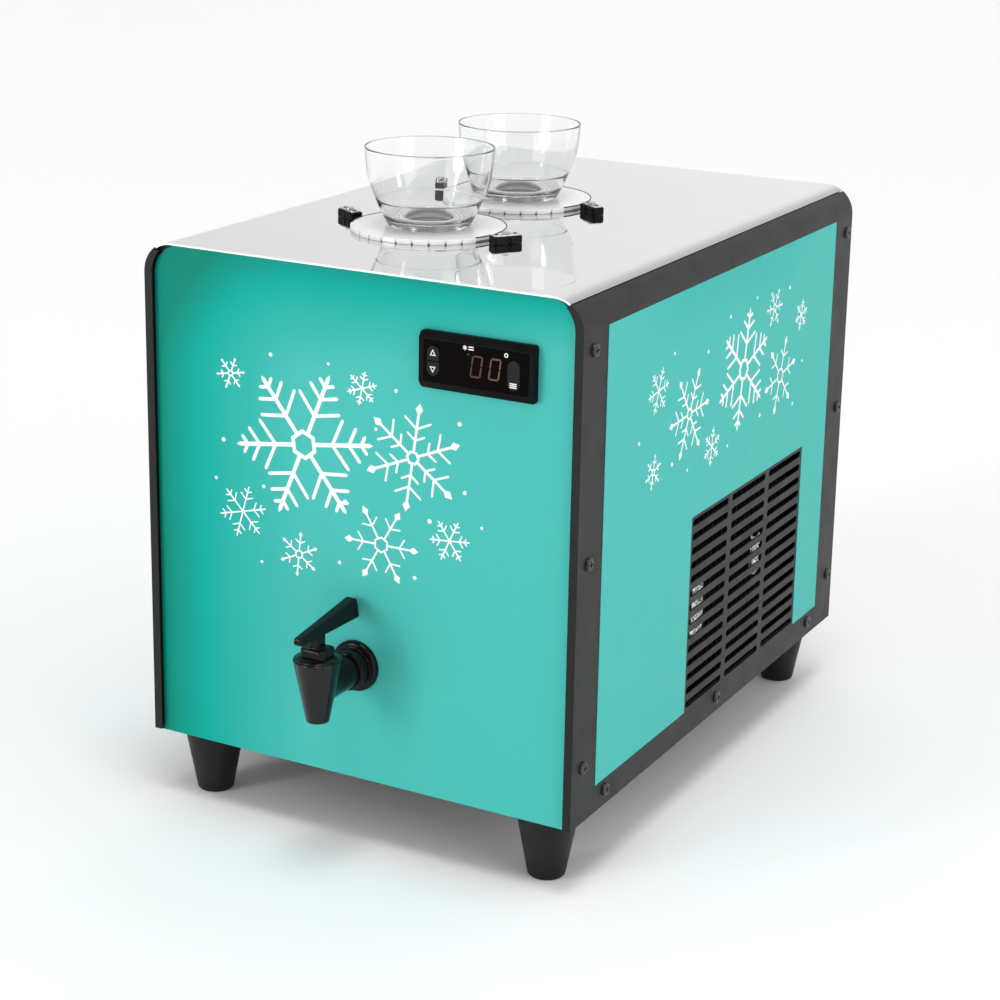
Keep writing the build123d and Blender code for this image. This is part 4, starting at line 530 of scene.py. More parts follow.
def lit_segments():
    """Dim red display segments behind smoke, glowing unevenly."""
    s = Shader("lit_segments", Emission_Strength=1.0, Specular_IOR_Level=0.2)
    s.colour((0.01, 0.01, 0.01, 1.0))
    x, _, _ = s.axes()
    bright = s.span(x, GLOW_FROM, GLOW_TO)
    glow = s.math("ADD", s.math("MULTIPLY", bright, 0.75), s.math("MULTIPLY", s.noise(700.0, 2.0), 0.3))
    s.put(
        s.shader.inputs["Emission Color"],
        s.ramp(glow, [(0.0, (0.062, 0.021, 0.020)), (1.0, (0.21, 0.068, 0.058))]),
    )
    s.rough(s.spread(s.noise(300.0, 2.0), 0.3, 0.45))
    return s


segment_red = lit_segments()


# Piece building


def add_piece(name, mesh, shader, body):
    """Puts a finished mesh in the scene, riding on a body."""
    bmesh.ops.recalc_face_normals(mesh, faces=mesh.faces)
    data = bpy.data.meshes.new(name)
    mesh.to_mesh(data)
    mesh.free()
    data.materials.append(shader.material)
    piece = bpy.data.objects.new(name, data)
    bpy.context.scene.collection.objects.link(piece)
    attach(piece, body)
    return piece


class Face:
    """A flat working face: an origin with a right, an up and an outward direction, in millimetres."""

    def __init__(self, origin, right, up):
        self.origin = Vector(origin)
        self.right = Vector(right)
        self.up = Vector(up)
        self.out = self.right.cross(self.up)

    def point(self, across, along, height):
        return (self.origin + self.right * across + self.up * along + self.out * height) * MM


def prism(mesh, face, outline, low, high):
    """A closed flat slab over an outline, from a low to a high level above the face."""
    bottom = [mesh.verts.new(face.point(x, y, low)) for x, y in outline]
    top = [mesh.verts.new(face.point(x, y, high)) for x, y in outline]
    count = len(outline)
    mesh.faces.new(top)
    mesh.faces.new(bottom[::-1])
    for i in range(count):
        j = (i + 1) % count
        mesh.faces.new((bottom[i], bottom[j], top[j], top[i]))


def loop_band(mesh, face, outer, inner, low, high):
    """A closed flat band between two outlines with as many points each."""
    rings = [
        [mesh.verts.new(face.point(x, y, level)) for x, y in outline]
        for outline, level in ((outer, low), (outer, high), (inner, high), (inner, low))
    ]
    count = len(outer)
    for ring, following in zip(rings, rings[1:] + rings[:1]):
        for i in range(count):
            j = (i + 1) % count
            mesh.faces.new((ring[i], ring[j], following[j], following[i]))


def spun(mesh, profile, centre, steps, start=0.0, sweep=360.0):
    """A closed profile of radius and height swept round an upright axis, all the way or part of it."""
    whole = sweep == 360.0
    rings = []
    for i in range(steps if whole else steps + 1):
        turn = math.radians(start + sweep * i / steps)
        c, s = math.cos(turn), math.sin(turn)
        points = [(centre[0] + r * c, centre[1] + r * s, z) for r, z in profile]
        rings.append([mesh.verts.new(Vector(point) * MM) for point in points])
    count = len(profile)
    for ring, following in zip(rings, rings[1:] + rings[:1] if whole else rings[1:]):
        for i in range(count):
            j = (i + 1) % count
            mesh.faces.new((ring[i], following[i], following[j], ring[j]))
    if not whole:
        mesh.faces.new(rings[0])
        mesh.faces.new(rings[-1][::-1])


def smooth(piece, degrees=40.0):
    """Smooth shading, with edges sharper than an angle kept crisp."""
    limit = math.radians(degrees)
    mesh = bmesh.new()
    mesh.from_mesh(piece.data)
    for edge in mesh.edges:
        edge.smooth = len(edge.link_faces) == 2 and edge.calc_face_angle() < limit
    for facet in mesh.faces:
        facet.smooth = True
    mesh.to_mesh(piece.data)
    mesh.free()


# Snow crystals printed on the films


def strip(start, end, width, tip=0.0):
    """A straight bar between two points, pointed at its end by a tip length."""
    along = Vector(end) - Vector(start)
    way = along.normalized()
    side = Vector((-way.y, way.x)) * width / 2
    corners = [Vector(start) + side, Vector(start) - side, Vector(end) - side]
    if tip:
        corners.append(Vector(end) + way * tip)
    corners.append(Vector(end) + side)
    return [(p.x, p.y) for p in corners]


def turned(outline, degrees, centre):
    angle = math.radians(degrees)
    c, s = math.cos(angle), math.sin(angle)
    return [(centre[0] + x * c - y * s, centre[1] + x * s + y * c) for x, y in outline]


def polygon(radius, sides):
    angles = [2 * math.pi * i / sides for i in range(sides)]
    return [(radius * math.cos(angle), radius * math.sin(angle)) for angle in angles]


CRYSTAL_STYLES = (
    {"branches": ((0.42, 0.36), (0.66, 0.24), (0.84, 0.12)), "core": 0.2, "jewel": 0.0},
    {"branches": ((0.36, 0.22), (0.60, 0.34)), "core": 0.16, "jewel": 0.085},
    {"branches": ((0.56, 0.30),), "core": 0.24, "jewel": 0.1},
    {"branches": ((0.48, 0.30), (0.74, 0.18)), "core": 0.0, "jewel": 0.0},
)
PRINT_SINK = -0.03
PRINT_LEVEL = 0.09
PRINT_STEP = 0.012
ARM_WIDTH = 0.055
ARM_START, ARM_END, ARM_TIP = 0.8, 0.96, 0.05
TWIG_ANGLE = math.radians(58)
TWIG_WIDTH, TWIG_TIP = 0.82, 0.025
TWIG_LIFT = 0.004
JEWEL_STRETCH = 1.5
CORE_WIDTH = 1.05
SPECK_LEVEL = 0.1
SPECK_SIDES = 18


def crystal(mesh, face, centre, radius, style, turn):
    """A six-armed snow crystal; parts that cross sit at slightly different levels."""
    look = CRYSTAL_STYLES[style]
    width = max(1.0, ARM_WIDTH * radius)
    for arm in range(6):
        angle = turn + 60.0 * arm
        level = PRINT_LEVEL + PRINT_STEP * (arm % 3)
        start, end = look["core"] * radius * ARM_START, radius * ARM_END
        stem = strip((start, 0.0), (end, 0.0), width, radius * ARM_TIP)
        prism(mesh, face, turned(stem, angle, centre), PRINT_SINK, level)
        for order, (place, reach) in enumerate(look["branches"]):
            for side in (-1, 1):
                end = (
                    place * radius + reach * radius * math.cos(TWIG_ANGLE),
                    side * reach * radius * math.sin(TWIG_ANGLE),
                )
                twig = strip((place * radius, 0.0), end, width * TWIG_WIDTH, radius * TWIG_TIP)
                height = level + PRINT_STEP * (3 + order) + TWIG_LIFT * side
                prism(mesh, face, turned(twig, angle, centre), PRINT_SINK, height)
        if look["jewel"]:
            size = look["jewel"] * radius
            jewel = [(radius + x * JEWEL_STRETCH, y) for x, y in polygon(size, 4)]
            prism(mesh, face, turned(jewel, angle, centre), PRINT_SINK, level + PRINT_STEP * 6)
    if look["core"]:
        outer = turned(polygon(look["core"] * radius, 6), turn + 30.0, centre)
        inner = turned(polygon(look["core"] * radius - width * CORE_WIDTH, 6), turn + 30.0, centre)
        loop_band(mesh, face, outer, inner, PRINT_SINK, PRINT_LEVEL + PRINT_STEP * 7)


def disc(radius, sides, centre):
    return turned(polygon(radius, sides), 0.0, centre)


def dot(mesh, face, centre, radius):
    prism(mesh, face, disc(radius, SPECK_SIDES, centre), PRINT_SINK, SPECK_LEVEL)


def crystals(name, node, flakes, specks):
    """One printed ornament of crystals and specks on a film."""
    face = film_face(node)
    mesh = bmesh.new()
    for x, z, radius, style, turn in flakes:
        crystal(mesh, face, (x, z), radius, style, turn)
    for x, z, radius in specks:
        dot(mesh, face, (x, z), radius)
    add_piece(name, mesh, print_white, "cabinet")


def film_face(node):
    """A film's outer face, measured across from the film's middle and up from the floor."""
    low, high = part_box(node)
    middle = (low.y + high.y) / 2 / MM
    if node == "front_graphic":
        return Face((0, low.y / MM, 0), (1, 0, 0), (0, 0, 1))
    if node == "right_graphic":
        return Face((high.x / MM, middle, 0), (0, 1, 0), (0, 0, 1))
    return Face((low.x / MM, middle, 0), (0, -1, 0), (0, 0, 1))


FRONT_FLAKES = [
    (-38.0, 258.0, 50.0, 0, 8.0),
    (40.0, 262.0, 31.0, 1, 22.0),
    (18.0, 203.0, 23.0, 2, 0.0),
    (-84.0, 207.0, 18.0, 3, 14.0),
    (66.0, 214.0, 14.0, 3, 5.0),
    (-42.0, 186.0, 13.0, 2, 24.0),
    (4.0, 300.0, 11.0, 3, 18.0),
    (-92.0, 296.0, 9.5, 2, 10.0),
]
FRONT_SPECKS = [
    (-8.0, 226.0, 1.6), (-68.0, 226.0, 1.2), (52.0, 224.0, 1.5), (-12.0, 186.0, 1.2), (42.0, 186.0, 1.3),
    (76.0, 246.0, 1.3), (-98.0, 252.0, 1.5), (-70.0, 176.0, 1.0), (14.0, 276.0, 1.1), (-104.0, 226.0, 1.1),
    (72.0, 288.0, 1.4), (-62.0, 312.0, 1.3), (-20.0, 312.0, 1.0), (28.0, 302.0, 1.2), (88.0, 226.0, 1.0),
]
SIDE_FLAKES = [
    (23.0, 281.0, 41.0, 0, 20.0),
    (-63.0, 271.0, 27.0, 1, 4.0),
    (89.0, 262.0, 24.0, 2, 12.0),
    (-111.0, 297.0, 15.0, 3, 8.0),
    (-25.0, 240.0, 13.0, 3, 22.0),
    (73.0, 313.0, 12.0, 2, 0.0),
    (123.0, 298.0, 11.0, 3, 15.0),
    (-115.0, 246.0, 10.0, 2, 18.0),
]
SIDE_SPECKS = [
    (-87.0, 244.0, 1.4), (-37.0, 306.0, 1.3), (55.0, 242.0, 1.4), (115.0, 236.0, 1.2), (-89.0, 316.0, 1.1),
    (-3.0, 322.0, 1.2), (41.0, 326.0, 1.0), (99.0, 322.0, 1.3), (129.0, 264.0, 1.1), (-137.0, 270.0, 1.3),
    (1.0, 234.0, 1.1), (-63.0, 234.0, 1.0),
]
crystals("front_print", "front_graphic", FRONT_FLAKES, FRONT_SPECKS)
crystals("right_print", "right_graphic", SIDE_FLAKES, SIDE_SPECKS)
crystals("left_print", "left_graphic", SIDE_FLAKES, SIDE_SPECKS)


# Bottle cups and the rings they sit on

CUP_STEPS = 144
LEDGE_HEIGHT = 16.4
LEDGE_DEPTH = 0.45
LEDGE_STEP = ((0.0, 0.35), (0.3, 0.0), (LEDGE_DEPTH - 0.2, -0.1), (LEDGE_DEPTH, -0.5))
CUP_WALL = 1.3
CUP_FOOT = ((26.1, 0.0), (26.6, 0.25))
CUP_ARC = ((26.7, 0.0), (33.0, 13.0), (38.6, 26.6))
CUP_UPPER = ((39.7, 31.0), (40.5, 36.0), (41.05, 41.5), (41.4, 46.0), (41.55, 48.3), (41.68, 49.6))
CUP_LIP = ((41.8, 50.3), (41.75, 50.65), (41.5, 50.8), (41.1, 50.75), (40.9, 50.4))
CUP_FLOOR = ((26.3, 5.2), (25.7, 4.3), (24.9, 4.0), (18.1, 4.0), (17.8, 3.7), (17.8, 0.3), (18.1, 0.0))
LOWER_OUTSIDE = (1.0, 3.0, 6.0, 9.0, 12.0, 15.0, 18.0, 21.0, 24.0, 26.6)
ABOVE_LEDGE = (26.6, 24.0, 21.5, 19.0, 17.4)
BELOW_LEDGE = (13.5, 11.0, 8.5, 6.5)
WALL_TAPER = 0.022


def arc_radius(height, low, middle, high):
    """Radius at a height on the circle through three points of radius and height."""
    (x1, y1), (x2, y2), (x3, y3) = low, middle, high
    d = 2 * (x1 * (y2 - y3) + x2 * (y3 - y1) + x3 * (y1 - y2))
    s1, s2, s3 = x1 * x1 + y1 * y1, x2 * x2 + y2 * y2, x3 * x3 + y3 * y3
    cx = (s1 * (y2 - y3) + s2 * (y3 - y1) + s3 * (y1 - y2)) / d
    cy = (s1 * (x3 - x2) + s2 * (x1 - x3) + s3 * (x2 - x1)) / d
    size = math.hypot(x1 - cx, y1 - cy)
    reach = math.sqrt(size * size - (height - cy) ** 2)
    return cx + reach if x2 > cx else cx - reach


def cup_profile():
    """Outside up to the lip, over it, and down the inside to the floor and the neck hole."""
    taper_from = CUP_UPPER[0][1]
    ledge = arc_radius(LEDGE_HEIGHT, *CUP_ARC) - CUP_WALL
    profile = [*CUP_FOOT]
    profile += [(arc_radius(h, *CUP_ARC), h) for h in LOWER_OUTSIDE]
    profile += [*CUP_UPPER, *CUP_LIP]
    profile += [(r - CUP_WALL + WALL_TAPER * (h - taper_from), h) for r, h in reversed(CUP_UPPER)]
    profile += [(arc_radius(h, *CUP_ARC) - CUP_WALL, h) for h in ABOVE_LEDGE]
    profile += [(ledge - inward, LEDGE_HEIGHT + rise) for inward, rise in LEDGE_STEP]
    profile += [(arc_radius(h, *CUP_ARC) - CUP_WALL - LEDGE_DEPTH, h) for h in BELOW_LEDGE]
    return profile + [*CUP_FLOOR]


def middle_of(low, high):
    """The middle of a box seen from above, in millimetres."""
    return ((low.x + high.x) / 2 / MM, (low.y + high.y) / 2 / MM)


def bottle_cup(row):
    """The clear bowl of one bottle seat."""
    low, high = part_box(f"bottle_cup_{row}")
    profile = [(r, low.z / MM + h) for r, h in cup_profile()]
    mesh = bmesh.new()
    spun(mesh, profile, middle_of(low, high), CUP_STEPS)
    cup = add_piece(f"clear_cup_{row}", mesh, slot_materials["clear_cup"], f"cup_{row}")
    smooth(cup, 50.0)
    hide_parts(f"bottle_cup_{row}")


BEAD_RADIUS = 0.4
BEAD_SINK = 0.1
BEAD_SIDES = 12
LUG_COUNT = 11
LUG_PITCH = 12.0
LUG_GAP = 1.2
LUG_STEPS = 8
LUG_FOOT = ((-0.6, -0.94), (0.65, -0.94), (0.85, -0.6))
LUG_HEAD = ((0.75, -0.35), (0.45, 0.05), (-0.6, 0.05))
LUG_START = -90.0 - LUG_PITCH * LUG_COUNT / 2


def seat_edge(row):
    """White lugs hanging along the front of a seat ring, and a thin dark bead round the rest of it as
    painted shade along the seat's edge.
    """
    low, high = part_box(f"seat_ring_{row}")
    centre = middle_of(low, high)
    radius, base, top = (high.x - low.x) / 2 / MM, low.z / MM, high.z / MM
    # The dark bead is painted shade for the dark line along the seat's edge.
    dark = bmesh.new()
    lug_sweep = LUG_PITCH * LUG_COUNT
    bead = [(radius - BEAD_SINK + x, top - BEAD_SINK + y) for x, y in polygon(BEAD_RADIUS, BEAD_SIDES)]
    spun(dark, bead, centre, CUP_STEPS, LUG_START + lug_sweep, 360.0 - lug_sweep)
    smooth(add_piece(f"seat_shade_bead_{row}", dark, shade_bead_and_plug_black, f"cup_{row}"))
    lugs = bmesh.new()
    lug = [(radius + x, base + z) for x, z in LUG_FOOT] + [(radius + x, top + z) for x, z in LUG_HEAD]
    width = LUG_PITCH - math.degrees(LUG_GAP / radius)
    for i in range(LUG_COUNT):
        spun(lugs, lug, centre, LUG_STEPS, LUG_START + LUG_PITCH * i + (LUG_PITCH - width) / 2, width)
    smooth(add_piece(f"seat_lugs_{row}", lugs, slot_materials["white_seat"], f"cup_{row}"))


for row in ("front", "rear"):
    bottle_cup(row)
    seat_edge(row)


# Dark plugs in the clamp tops, on the bright plate that is a painted highlight

CLAMP_TURN = {"front_left": -30.0, "front_right": 55.0, "rear_left": -62.0, "rear_right": -36.0}
CLAMP_DOT_REACH = 6.6
CLAMP_DOT_STEPS = 20
CLAMP_DOT_RIM = ((0.3, -0.2), (1.3, -0.2), (1.3, 0.2), (1.05, 0.35), (0.55, 0.25), (0.3, 0.1))


def clamp_dots(place, degrees):
    """Two dark dimpled plugs near the ends of a clamp's top, on the bright plate painted as its highlight.
    """
    low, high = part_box(f"clamp_{place}")
    centre = middle_of(low, high)
    angle, top = math.radians(degrees), high.z / MM
    mesh = bmesh.new()
    for reach in (-CLAMP_DOT_REACH, CLAMP_DOT_REACH):
        spot = (centre[0] + reach * math.cos(angle), centre[1] + reach * math.sin(angle))
        spun(mesh, [(r, top + h) for r, h in CLAMP_DOT_RIM], spot, CLAMP_DOT_STEPS)
    smooth(add_piece(f"clamp_dots_{place}", mesh, shade_bead_and_plug_black, f"turn_{place}"))


for place, degrees in CLAMP_TURN.items():
    clamp_dots(place, degrees)


# Controller display and key marks

SEGMENTS = {
    "top": ((0.0, 1.0), (1.0, 1.0)),
    "high_right": ((1.0, 1.0), (1.0, 0.5)),
    "low_right": ((1.0, 0.5), (1.0, 0.0)),
    "bottom": ((1.0, 0.0), (0.0, 0.0)),
    "low_left": ((0.0, 0.0), (0.0, 0.5)),
    "high_left": ((0.0, 0.5), (0.0, 1.0)),
}
DIGIT_WIDTH = 6.3
DIGIT_HEIGHT = 12.4
DIGIT_STROKE = 1.0
DIGIT_LEAN = 0.13
DIGIT_GAP = 0.25
DIGIT_MIDDLES = (38.8, 51.0)
DIGIT_DROP = 23.4
MARK_SINK, MARK_HEIGHT = -0.05, 0.08
BEZEL_WIDTH, BEZEL_HEIGHT = 77.0, 35.0
INDICATOR = (33.4, 10.4)
INDICATOR_RADIUS = 0.62
INDICATOR_SIDES = 16
SMALL_CRYSTAL = (31.0, 6.6)
SMALL_ARM, SMALL_STROKE = 1.5, 0.5
SMALL_STEP = 0.01
BAR_FROM, BAR_TO, BAR_HEIGHT = 2.4, 5.8, 0.72
BAR_ROWS = (-0.75, 0.75)
DISPLAY_RING = (58.4, 7.6)
DISPLAY_RING_RADII = (1.35, 0.75)
DISPLAY_RING_SIDES = 24
ARROW_OUTER = ((0.0, 2.1), (-2.0, -1.7), (2.0, -1.7))
ARROW_INNER = ((0.0, 1.15), (-1.2, -1.2), (1.2, -1.2))
SET_BAR_REACH, SET_BAR_HEIGHT = 2.3, 0.66
SET_BAR_FIRST, SET_BAR_PITCH = -4.6, 1.15

window_low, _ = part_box("controller_window")
case_low, case_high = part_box("controller_case")
bezel_left = (case_low.x + case_high.x) / 2 / MM - BEZEL_WIDTH / 2
bezel_top = (case_low.z + case_high.z) / 2 / MM + BEZEL_HEIGHT / 2
window_face = Face((0, window_low.y / MM, 0), (1, 0, 0), (0, 0, 1))


def segment(start, end):
    """A bar of the display with mitred ends, in the digit's own leaning frame."""
    first, last = Vector(start), Vector(end)
    way = (last - first).normalized()
    side = Vector((-way.y, way.x)) * DIGIT_STROKE / 2
    first += way * DIGIT_GAP / 2
    last -= way * DIGIT_GAP / 2
    mitre = way * DIGIT_STROKE / 2
    inner_first, inner_last = first + mitre, last - mitre
    corners = (first, inner_first - side, inner_last - side, last, inner_last + side, inner_first + side)
    return [(p.x, p.y) for p in corners]


def on_bezel(spot):
    """A spot measured right and down from the bezel's upper left corner."""
    return (bezel_left + spot[0], bezel_top - spot[1])


def bar_outline(left, right, middle, height):
    low, high = middle - height / 2, middle + height / 2
    return [(left, low), (right, low), (right, high), (left, high)]


def digits():
    """A slanted double zero on the display, and a small indicator dot beside it."""
    mesh = bmesh.new()
    for middle in DIGIT_MIDDLES:
        left = bezel_left + middle - DIGIT_WIDTH / 2
        bottom = bezel_top - DIGIT_DROP
        for ends in SEGMENTS.values():
            bar = segment(*((x * DIGIT_WIDTH, y * DIGIT_HEIGHT) for x, y in ends))
            outline = [(left + x + (y - DIGIT_HEIGHT / 2) * DIGIT_LEAN, bottom + y) for x, y in bar]
            prism(mesh, window_face, outline, MARK_SINK, MARK_HEIGHT)
    indicator = disc(INDICATOR_RADIUS, INDICATOR_SIDES, on_bezel(INDICATOR))
    prism(mesh, window_face, indicator, MARK_SINK, MARK_HEIGHT)
    add_piece("display_digits", mesh, segment_red, "cabinet")


def display_marks():
    """A small white crystal and two bars above the digits, and a ring at their upper right."""
    mesh = bmesh.new()
    spot = on_bezel(SMALL_CRYSTAL)
    stroke = strip((-SMALL_ARM, 0.0), (SMALL_ARM, 0.0), SMALL_STROKE)
    for arm in range(3):
        bar = turned(stroke, 30.0 + 60.0 * arm, spot)
        prism(mesh, window_face, bar, MARK_SINK, MARK_HEIGHT + SMALL_STEP * arm)
    for row in BAR_ROWS:
        bar = bar_outline(spot[0] + BAR_FROM, spot[0] + BAR_TO, spot[1] + row, BAR_HEIGHT)
        prism(mesh, window_face, bar, MARK_SINK, MARK_HEIGHT)
    spot = on_bezel(DISPLAY_RING)
    outer, inner = (disc(radius, DISPLAY_RING_SIDES, spot) for radius in DISPLAY_RING_RADII)
    loop_band(mesh, window_face, outer, inner, MARK_SINK, MARK_HEIGHT)
    add_piece("display_marks", mesh, print_white, "cabinet")


def key_face(node):
    low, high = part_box(node)
    return Face(((low.x + high.x) / 2 / MM, low.y / MM, (low.z + high.z) / 2 / MM), (1, 0, 0), (0, 0, 1))


def arrow_mark(key, way):
    """A white outlined triangle on an arrow key, pointing up or down."""
    mesh = bmesh.new()
    face = key_face(f"{key}_button")
    loops = ([(x * way, y * way) for x, y in outline] for outline in (ARROW_OUTER, ARROW_INNER))
    loop_band(mesh, face, *loops, MARK_SINK, MARK_HEIGHT)
    add_piece(f"{key}_mark", mesh, print_white, f"{key}_key")


def set_mark():
    """Three short white bars low on the set key."""
    mesh = bmesh.new()
    face = key_face("set_button")
    for row in range(3):
        middle = SET_BAR_FIRST - SET_BAR_PITCH * row
        bar = bar_outline(-SET_BAR_REACH, SET_BAR_REACH, middle, SET_BAR_HEIGHT)
        prism(mesh, face, bar, MARK_SINK, MARK_HEIGHT)
    add_piece("set_mark", mesh, print_white, "set_key")


digits()
display_marks()
arrow_mark("up", 1)
arrow_mark("down", -1)
set_mark()


# Valve spring

SPRING_TURNS = 4
SPRING_WIRE = 0.45
SPRING_STEPS = 160
WIRE_SIDES = 10


def valve_spring():
    """The coil round the valve stem, pressed up against the bonnet by the rising plug; here it is built
    once, to the spring part's size.
    """
    low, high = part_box("tap_spring")
    middle = (low + high) / 2 / MM
    radius = (high.x - low.x) / 2 / MM - SPRING_WIRE
    bottom, length = low.z / MM + SPRING_WIRE, (high.z - low.z) / MM - 2 * SPRING_WIRE
    slope = length / (2 * math.pi * SPRING_TURNS * radius)
    mesh = bmesh.new()
    rings = []
    for i in range(SPRING_STEPS + 1):
        turn = 2 * math.pi * SPRING_TURNS * i / SPRING_STEPS
        outward = Vector((math.cos(turn), math.sin(turn), 0.0))
        along = Vector((-math.sin(turn), math.cos(turn), slope)).normalized()
        across = along.cross(outward)
        centre = Vector((middle.x, middle.y, bottom + length * i / SPRING_STEPS)) + outward * radius
        points = [centre + outward * x + across * y for x, y in polygon(SPRING_WIRE, WIRE_SIDES)]
        rings.append([mesh.verts.new(point * MM) for point in points])
    for ring, following in zip(rings, rings[1:]):
        for i in range(WIRE_SIDES):
            j = (i + 1) % WIRE_SIDES
            mesh.faces.new((ring[i], ring[j], following[j], following[i]))
    mesh.faces.new(rings[0])
    mesh.faces.new(rings[-1][::-1])
    spring = add_piece("valve_spring", mesh, slot_materials["zinc_fasteners"], "cabinet")
    smooth(spring, 50.0)
    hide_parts("tap_spring")
    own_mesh(spring)


valve_spring()


# Crinkled foil tape on the condenser, seen through the right grille

FOIL_COLUMNS, FOIL_ROWS = 26, 34
FOIL_LEVELS = (0.1, 0.22)
CREASE_SCALE = 0.16
CREASE_HEIGHT = 0.9
SEED_SHIFT = Vector((7.3, 3.1, 5.7))
SIDE_WAVER, SIDE_WAVES = 0.1, 5
END_WAVER, END_WAVES = 2.0, 4
FLAT_MARGIN = 12


def foil_patch(name, middle_y, middle_z, width, height, seed):
    """A small crumpled sheet of foil tape lying on the condenser's outer face."""
    face_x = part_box("condenser")[1].x / MM
    columns, rows = FOIL_COLUMNS, FOIL_ROWS
    shift = SEED_SHIFT * seed
    mesh = bmesh.new()
    layers = []
    for level in FOIL_LEVELS:
        sheet = []
        for j in range(rows + 1):
            line = []
            for i in range(columns + 1):
                u, v = i / columns, j / rows
                y = middle_y + width * (u - 0.5) * (1 + SIDE_WAVER * math.sin(SIDE_WAVES * v + seed))
                z = middle_z + height * (v - 0.5) + END_WAVER * math.sin(END_WAVES * u + seed)
                spot = Vector((y, z, 0)) * CREASE_SCALE + shift
                crease = noise.ridged_multi_fractal(spot, 0.8, 2.0, 3, 1.0, 2.0)
                inward = min(min(u, 1 - u, v, 1 - v) * FLAT_MARGIN, 1.0)
                x = face_x + level + inward * CREASE_HEIGHT * crease
                line.append(mesh.verts.new(Vector((x, y, z)) * MM))
            sheet.append(line)
        layers.append(sheet)
    back, front = layers
    for j in range(rows):
        for i in range(columns):
            mesh.faces.new((front[j][i], front[j][i + 1], front[j + 1][i + 1], front[j + 1][i]))
            mesh.faces.new((back[j][i], back[j + 1][i], back[j + 1][i + 1], back[j][i + 1]))
    for j in range(rows):
        mesh.faces.new((back[j][0], front[j][0], front[j + 1][0], back[j + 1][0]))
        mesh.faces.new((back[j + 1][columns], front[j + 1][columns], front[j][columns], back[j][columns]))
    for i in range(columns):
        mesh.faces.new((back[0][i + 1], front[0][i + 1], front[0][i], back[0][i]))
        mesh.faces.new((back[rows][i], front[rows][i], front[rows][i + 1], back[rows][i + 1]))
    add_piece(name, mesh, foil, "cabinet")


foil_patch("foil_patch_low", middle_y=17.0, middle_z=122.0, width=18.0, height=42.0, seed=1)
foil_patch("foil_patch_high", middle_y=114.0, middle_z=133.0, width=16.0, height=28.0, seed=2)


# Floor, light and camera

FLOOR_RADIUS, FLOOR_SIDES = 18.0, 64
ROOM_LEAN = (0.6, 1.0, -0.4)
ROOM_FROM, ROOM_TO = -0.5, 0.8
ROOM_DIM, ROOM_WHITE = 0.5, 1.05
CAMERA_PLACE = (0.7266, -1.3430, 0.6720)
CAMERA_ANGLES = (28.368, 15.940, 1.054)
CAMERA_LENS, CAMERA_SENSOR = 84.55, 36.0
CAMERA_SHIFT = -0.08


def pale_floor():
    """A wide pale floor."""
    mesh = bmesh.new()
    mesh.faces.new([mesh.verts.new((x, y, 0)) for x, y in polygon(FLOOR_RADIUS, FLOOR_SIDES)])
    data = bpy.data.meshes.new("floor")
    mesh.to_mesh(data)
    mesh.free()
    s = finish(
        "floor_white", grey(0.945), grey(0.955), gloss=(0.85, 0.95), drift=0.6, grain=40.0, relief=0.02,
        Specular_IOR_Level=0.1,
    )
    data.materials.append(s.material)
    floor = bpy.data.objects.new("floor", data)
    bpy.context.scene.collection.objects.link(floor)


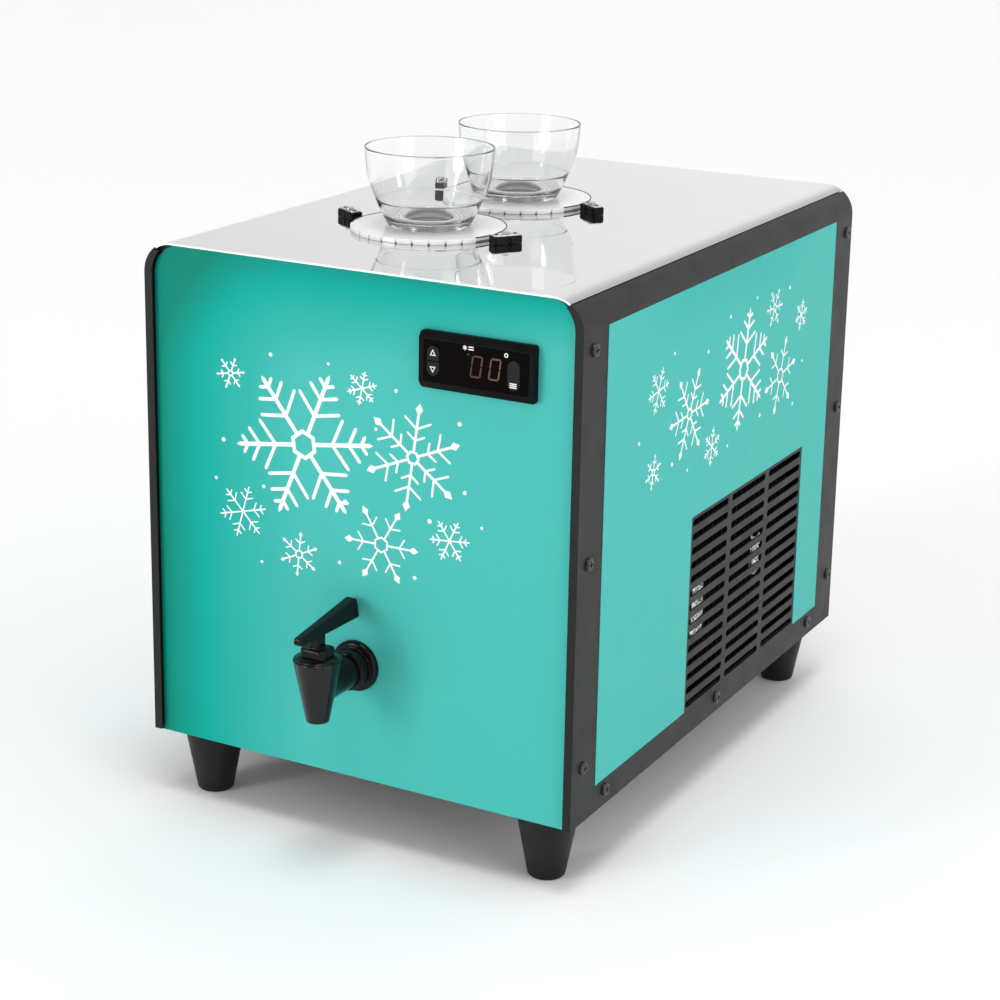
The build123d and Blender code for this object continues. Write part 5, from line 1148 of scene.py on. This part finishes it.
def studio_world():
    """White surroundings behind the object, a dimmer room in front of it."""
    world = bpy.data.worlds.new("studio")
    world.use_nodes = True
    tree = world.node_tree
    place = tree.nodes.new("ShaderNodeTexCoord")
    lean = tree.nodes.new("ShaderNodeVectorMath")
    lean.operation = "DOT_PRODUCT"
    lean.inputs[1].default_value = ROOM_LEAN
    level = tree.nodes.new("ShaderNodeMapRange")
    level.interpolation_type = "SMOOTHSTEP"
    for socket, value in zip(level.inputs[1:5], (ROOM_FROM, ROOM_TO, ROOM_DIM, ROOM_WHITE)):
        socket.default_value = value
    tree.links.new(place.outputs["Generated"], lean.inputs[0])
    tree.links.new(lean.outputs["Value"], level.inputs[0])
    tree.nodes["Background"].inputs["Color"].default_value = (1.0, 1.0, 1.0, 1.0)
    tree.links.new(level.outputs[0], tree.nodes["Background"].inputs["Strength"])
    bpy.context.scene.world = world


def softbox(name, place, target, size, power):
    """A rectangular soft light aimed at a point."""
    light = bpy.data.lights.new(name, "AREA")
    light.shape = "RECTANGLE"
    light.size, light.size_y = size
    light.energy = power
    lamp = bpy.data.objects.new(name, light)
    lamp.location = place
    lamp.rotation_euler = (Vector(target) - Vector(place)).to_track_quat("-Z", "Y").to_euler()
    bpy.context.scene.collection.objects.link(lamp)


def soft_sun(name, source, strength, spread):
    """A broad, even light from far away in the direction of its source."""
    light = bpy.data.lights.new(name, "SUN")
    light.energy = strength
    light.angle = math.radians(spread)
    lamp = bpy.data.objects.new(name, light)
    lamp.rotation_euler = (-Vector(source)).to_track_quat("-Z", "Y").to_euler()
    bpy.context.scene.collection.objects.link(lamp)


def photo_camera():
    """The camera at the photograph's viewing angle."""
    azimuth, elevation, roll = (math.radians(angle) for angle in CAMERA_ANGLES)
    back = Vector(
        (
            math.sin(azimuth) * math.cos(elevation),
            -math.cos(azimuth) * math.cos(elevation),
            math.sin(elevation),
        )
    )
    lens = bpy.data.cameras.new("camera")
    lens.lens = CAMERA_LENS
    lens.sensor_width = CAMERA_SENSOR
    lens.shift_y = CAMERA_SHIFT
    camera = bpy.data.objects.new("camera", lens)
    turn = (-back).to_track_quat("-Z", "Y").to_matrix() @ Matrix.Rotation(roll, 3, "Z")
    camera.matrix_world = Matrix.Translation(CAMERA_PLACE) @ turn.to_4x4()
    bpy.context.scene.collection.objects.link(camera)
    bpy.context.scene.camera = camera


pale_floor()
studio_world()
soft_sun("key", source=(-0.45, -0.88, 0.15), strength=0.72, spread=24.0)
soft_sun("top", source=(0.1, -0.1, 1.0), strength=1.05, spread=22.0)
softbox("fill", place=(2.0, -0.7, 0.9), target=(0, 0, 0.2), size=(1.0, 1.4), power=8.0)
softbox("strip", place=(-1.0, -1.7, 0.8), target=(0, -0.2, 0.15), size=(0.22, 1.2), power=6.0)
photo_camera()
bpy.context.scene.view_settings.view_transform = "Standard"
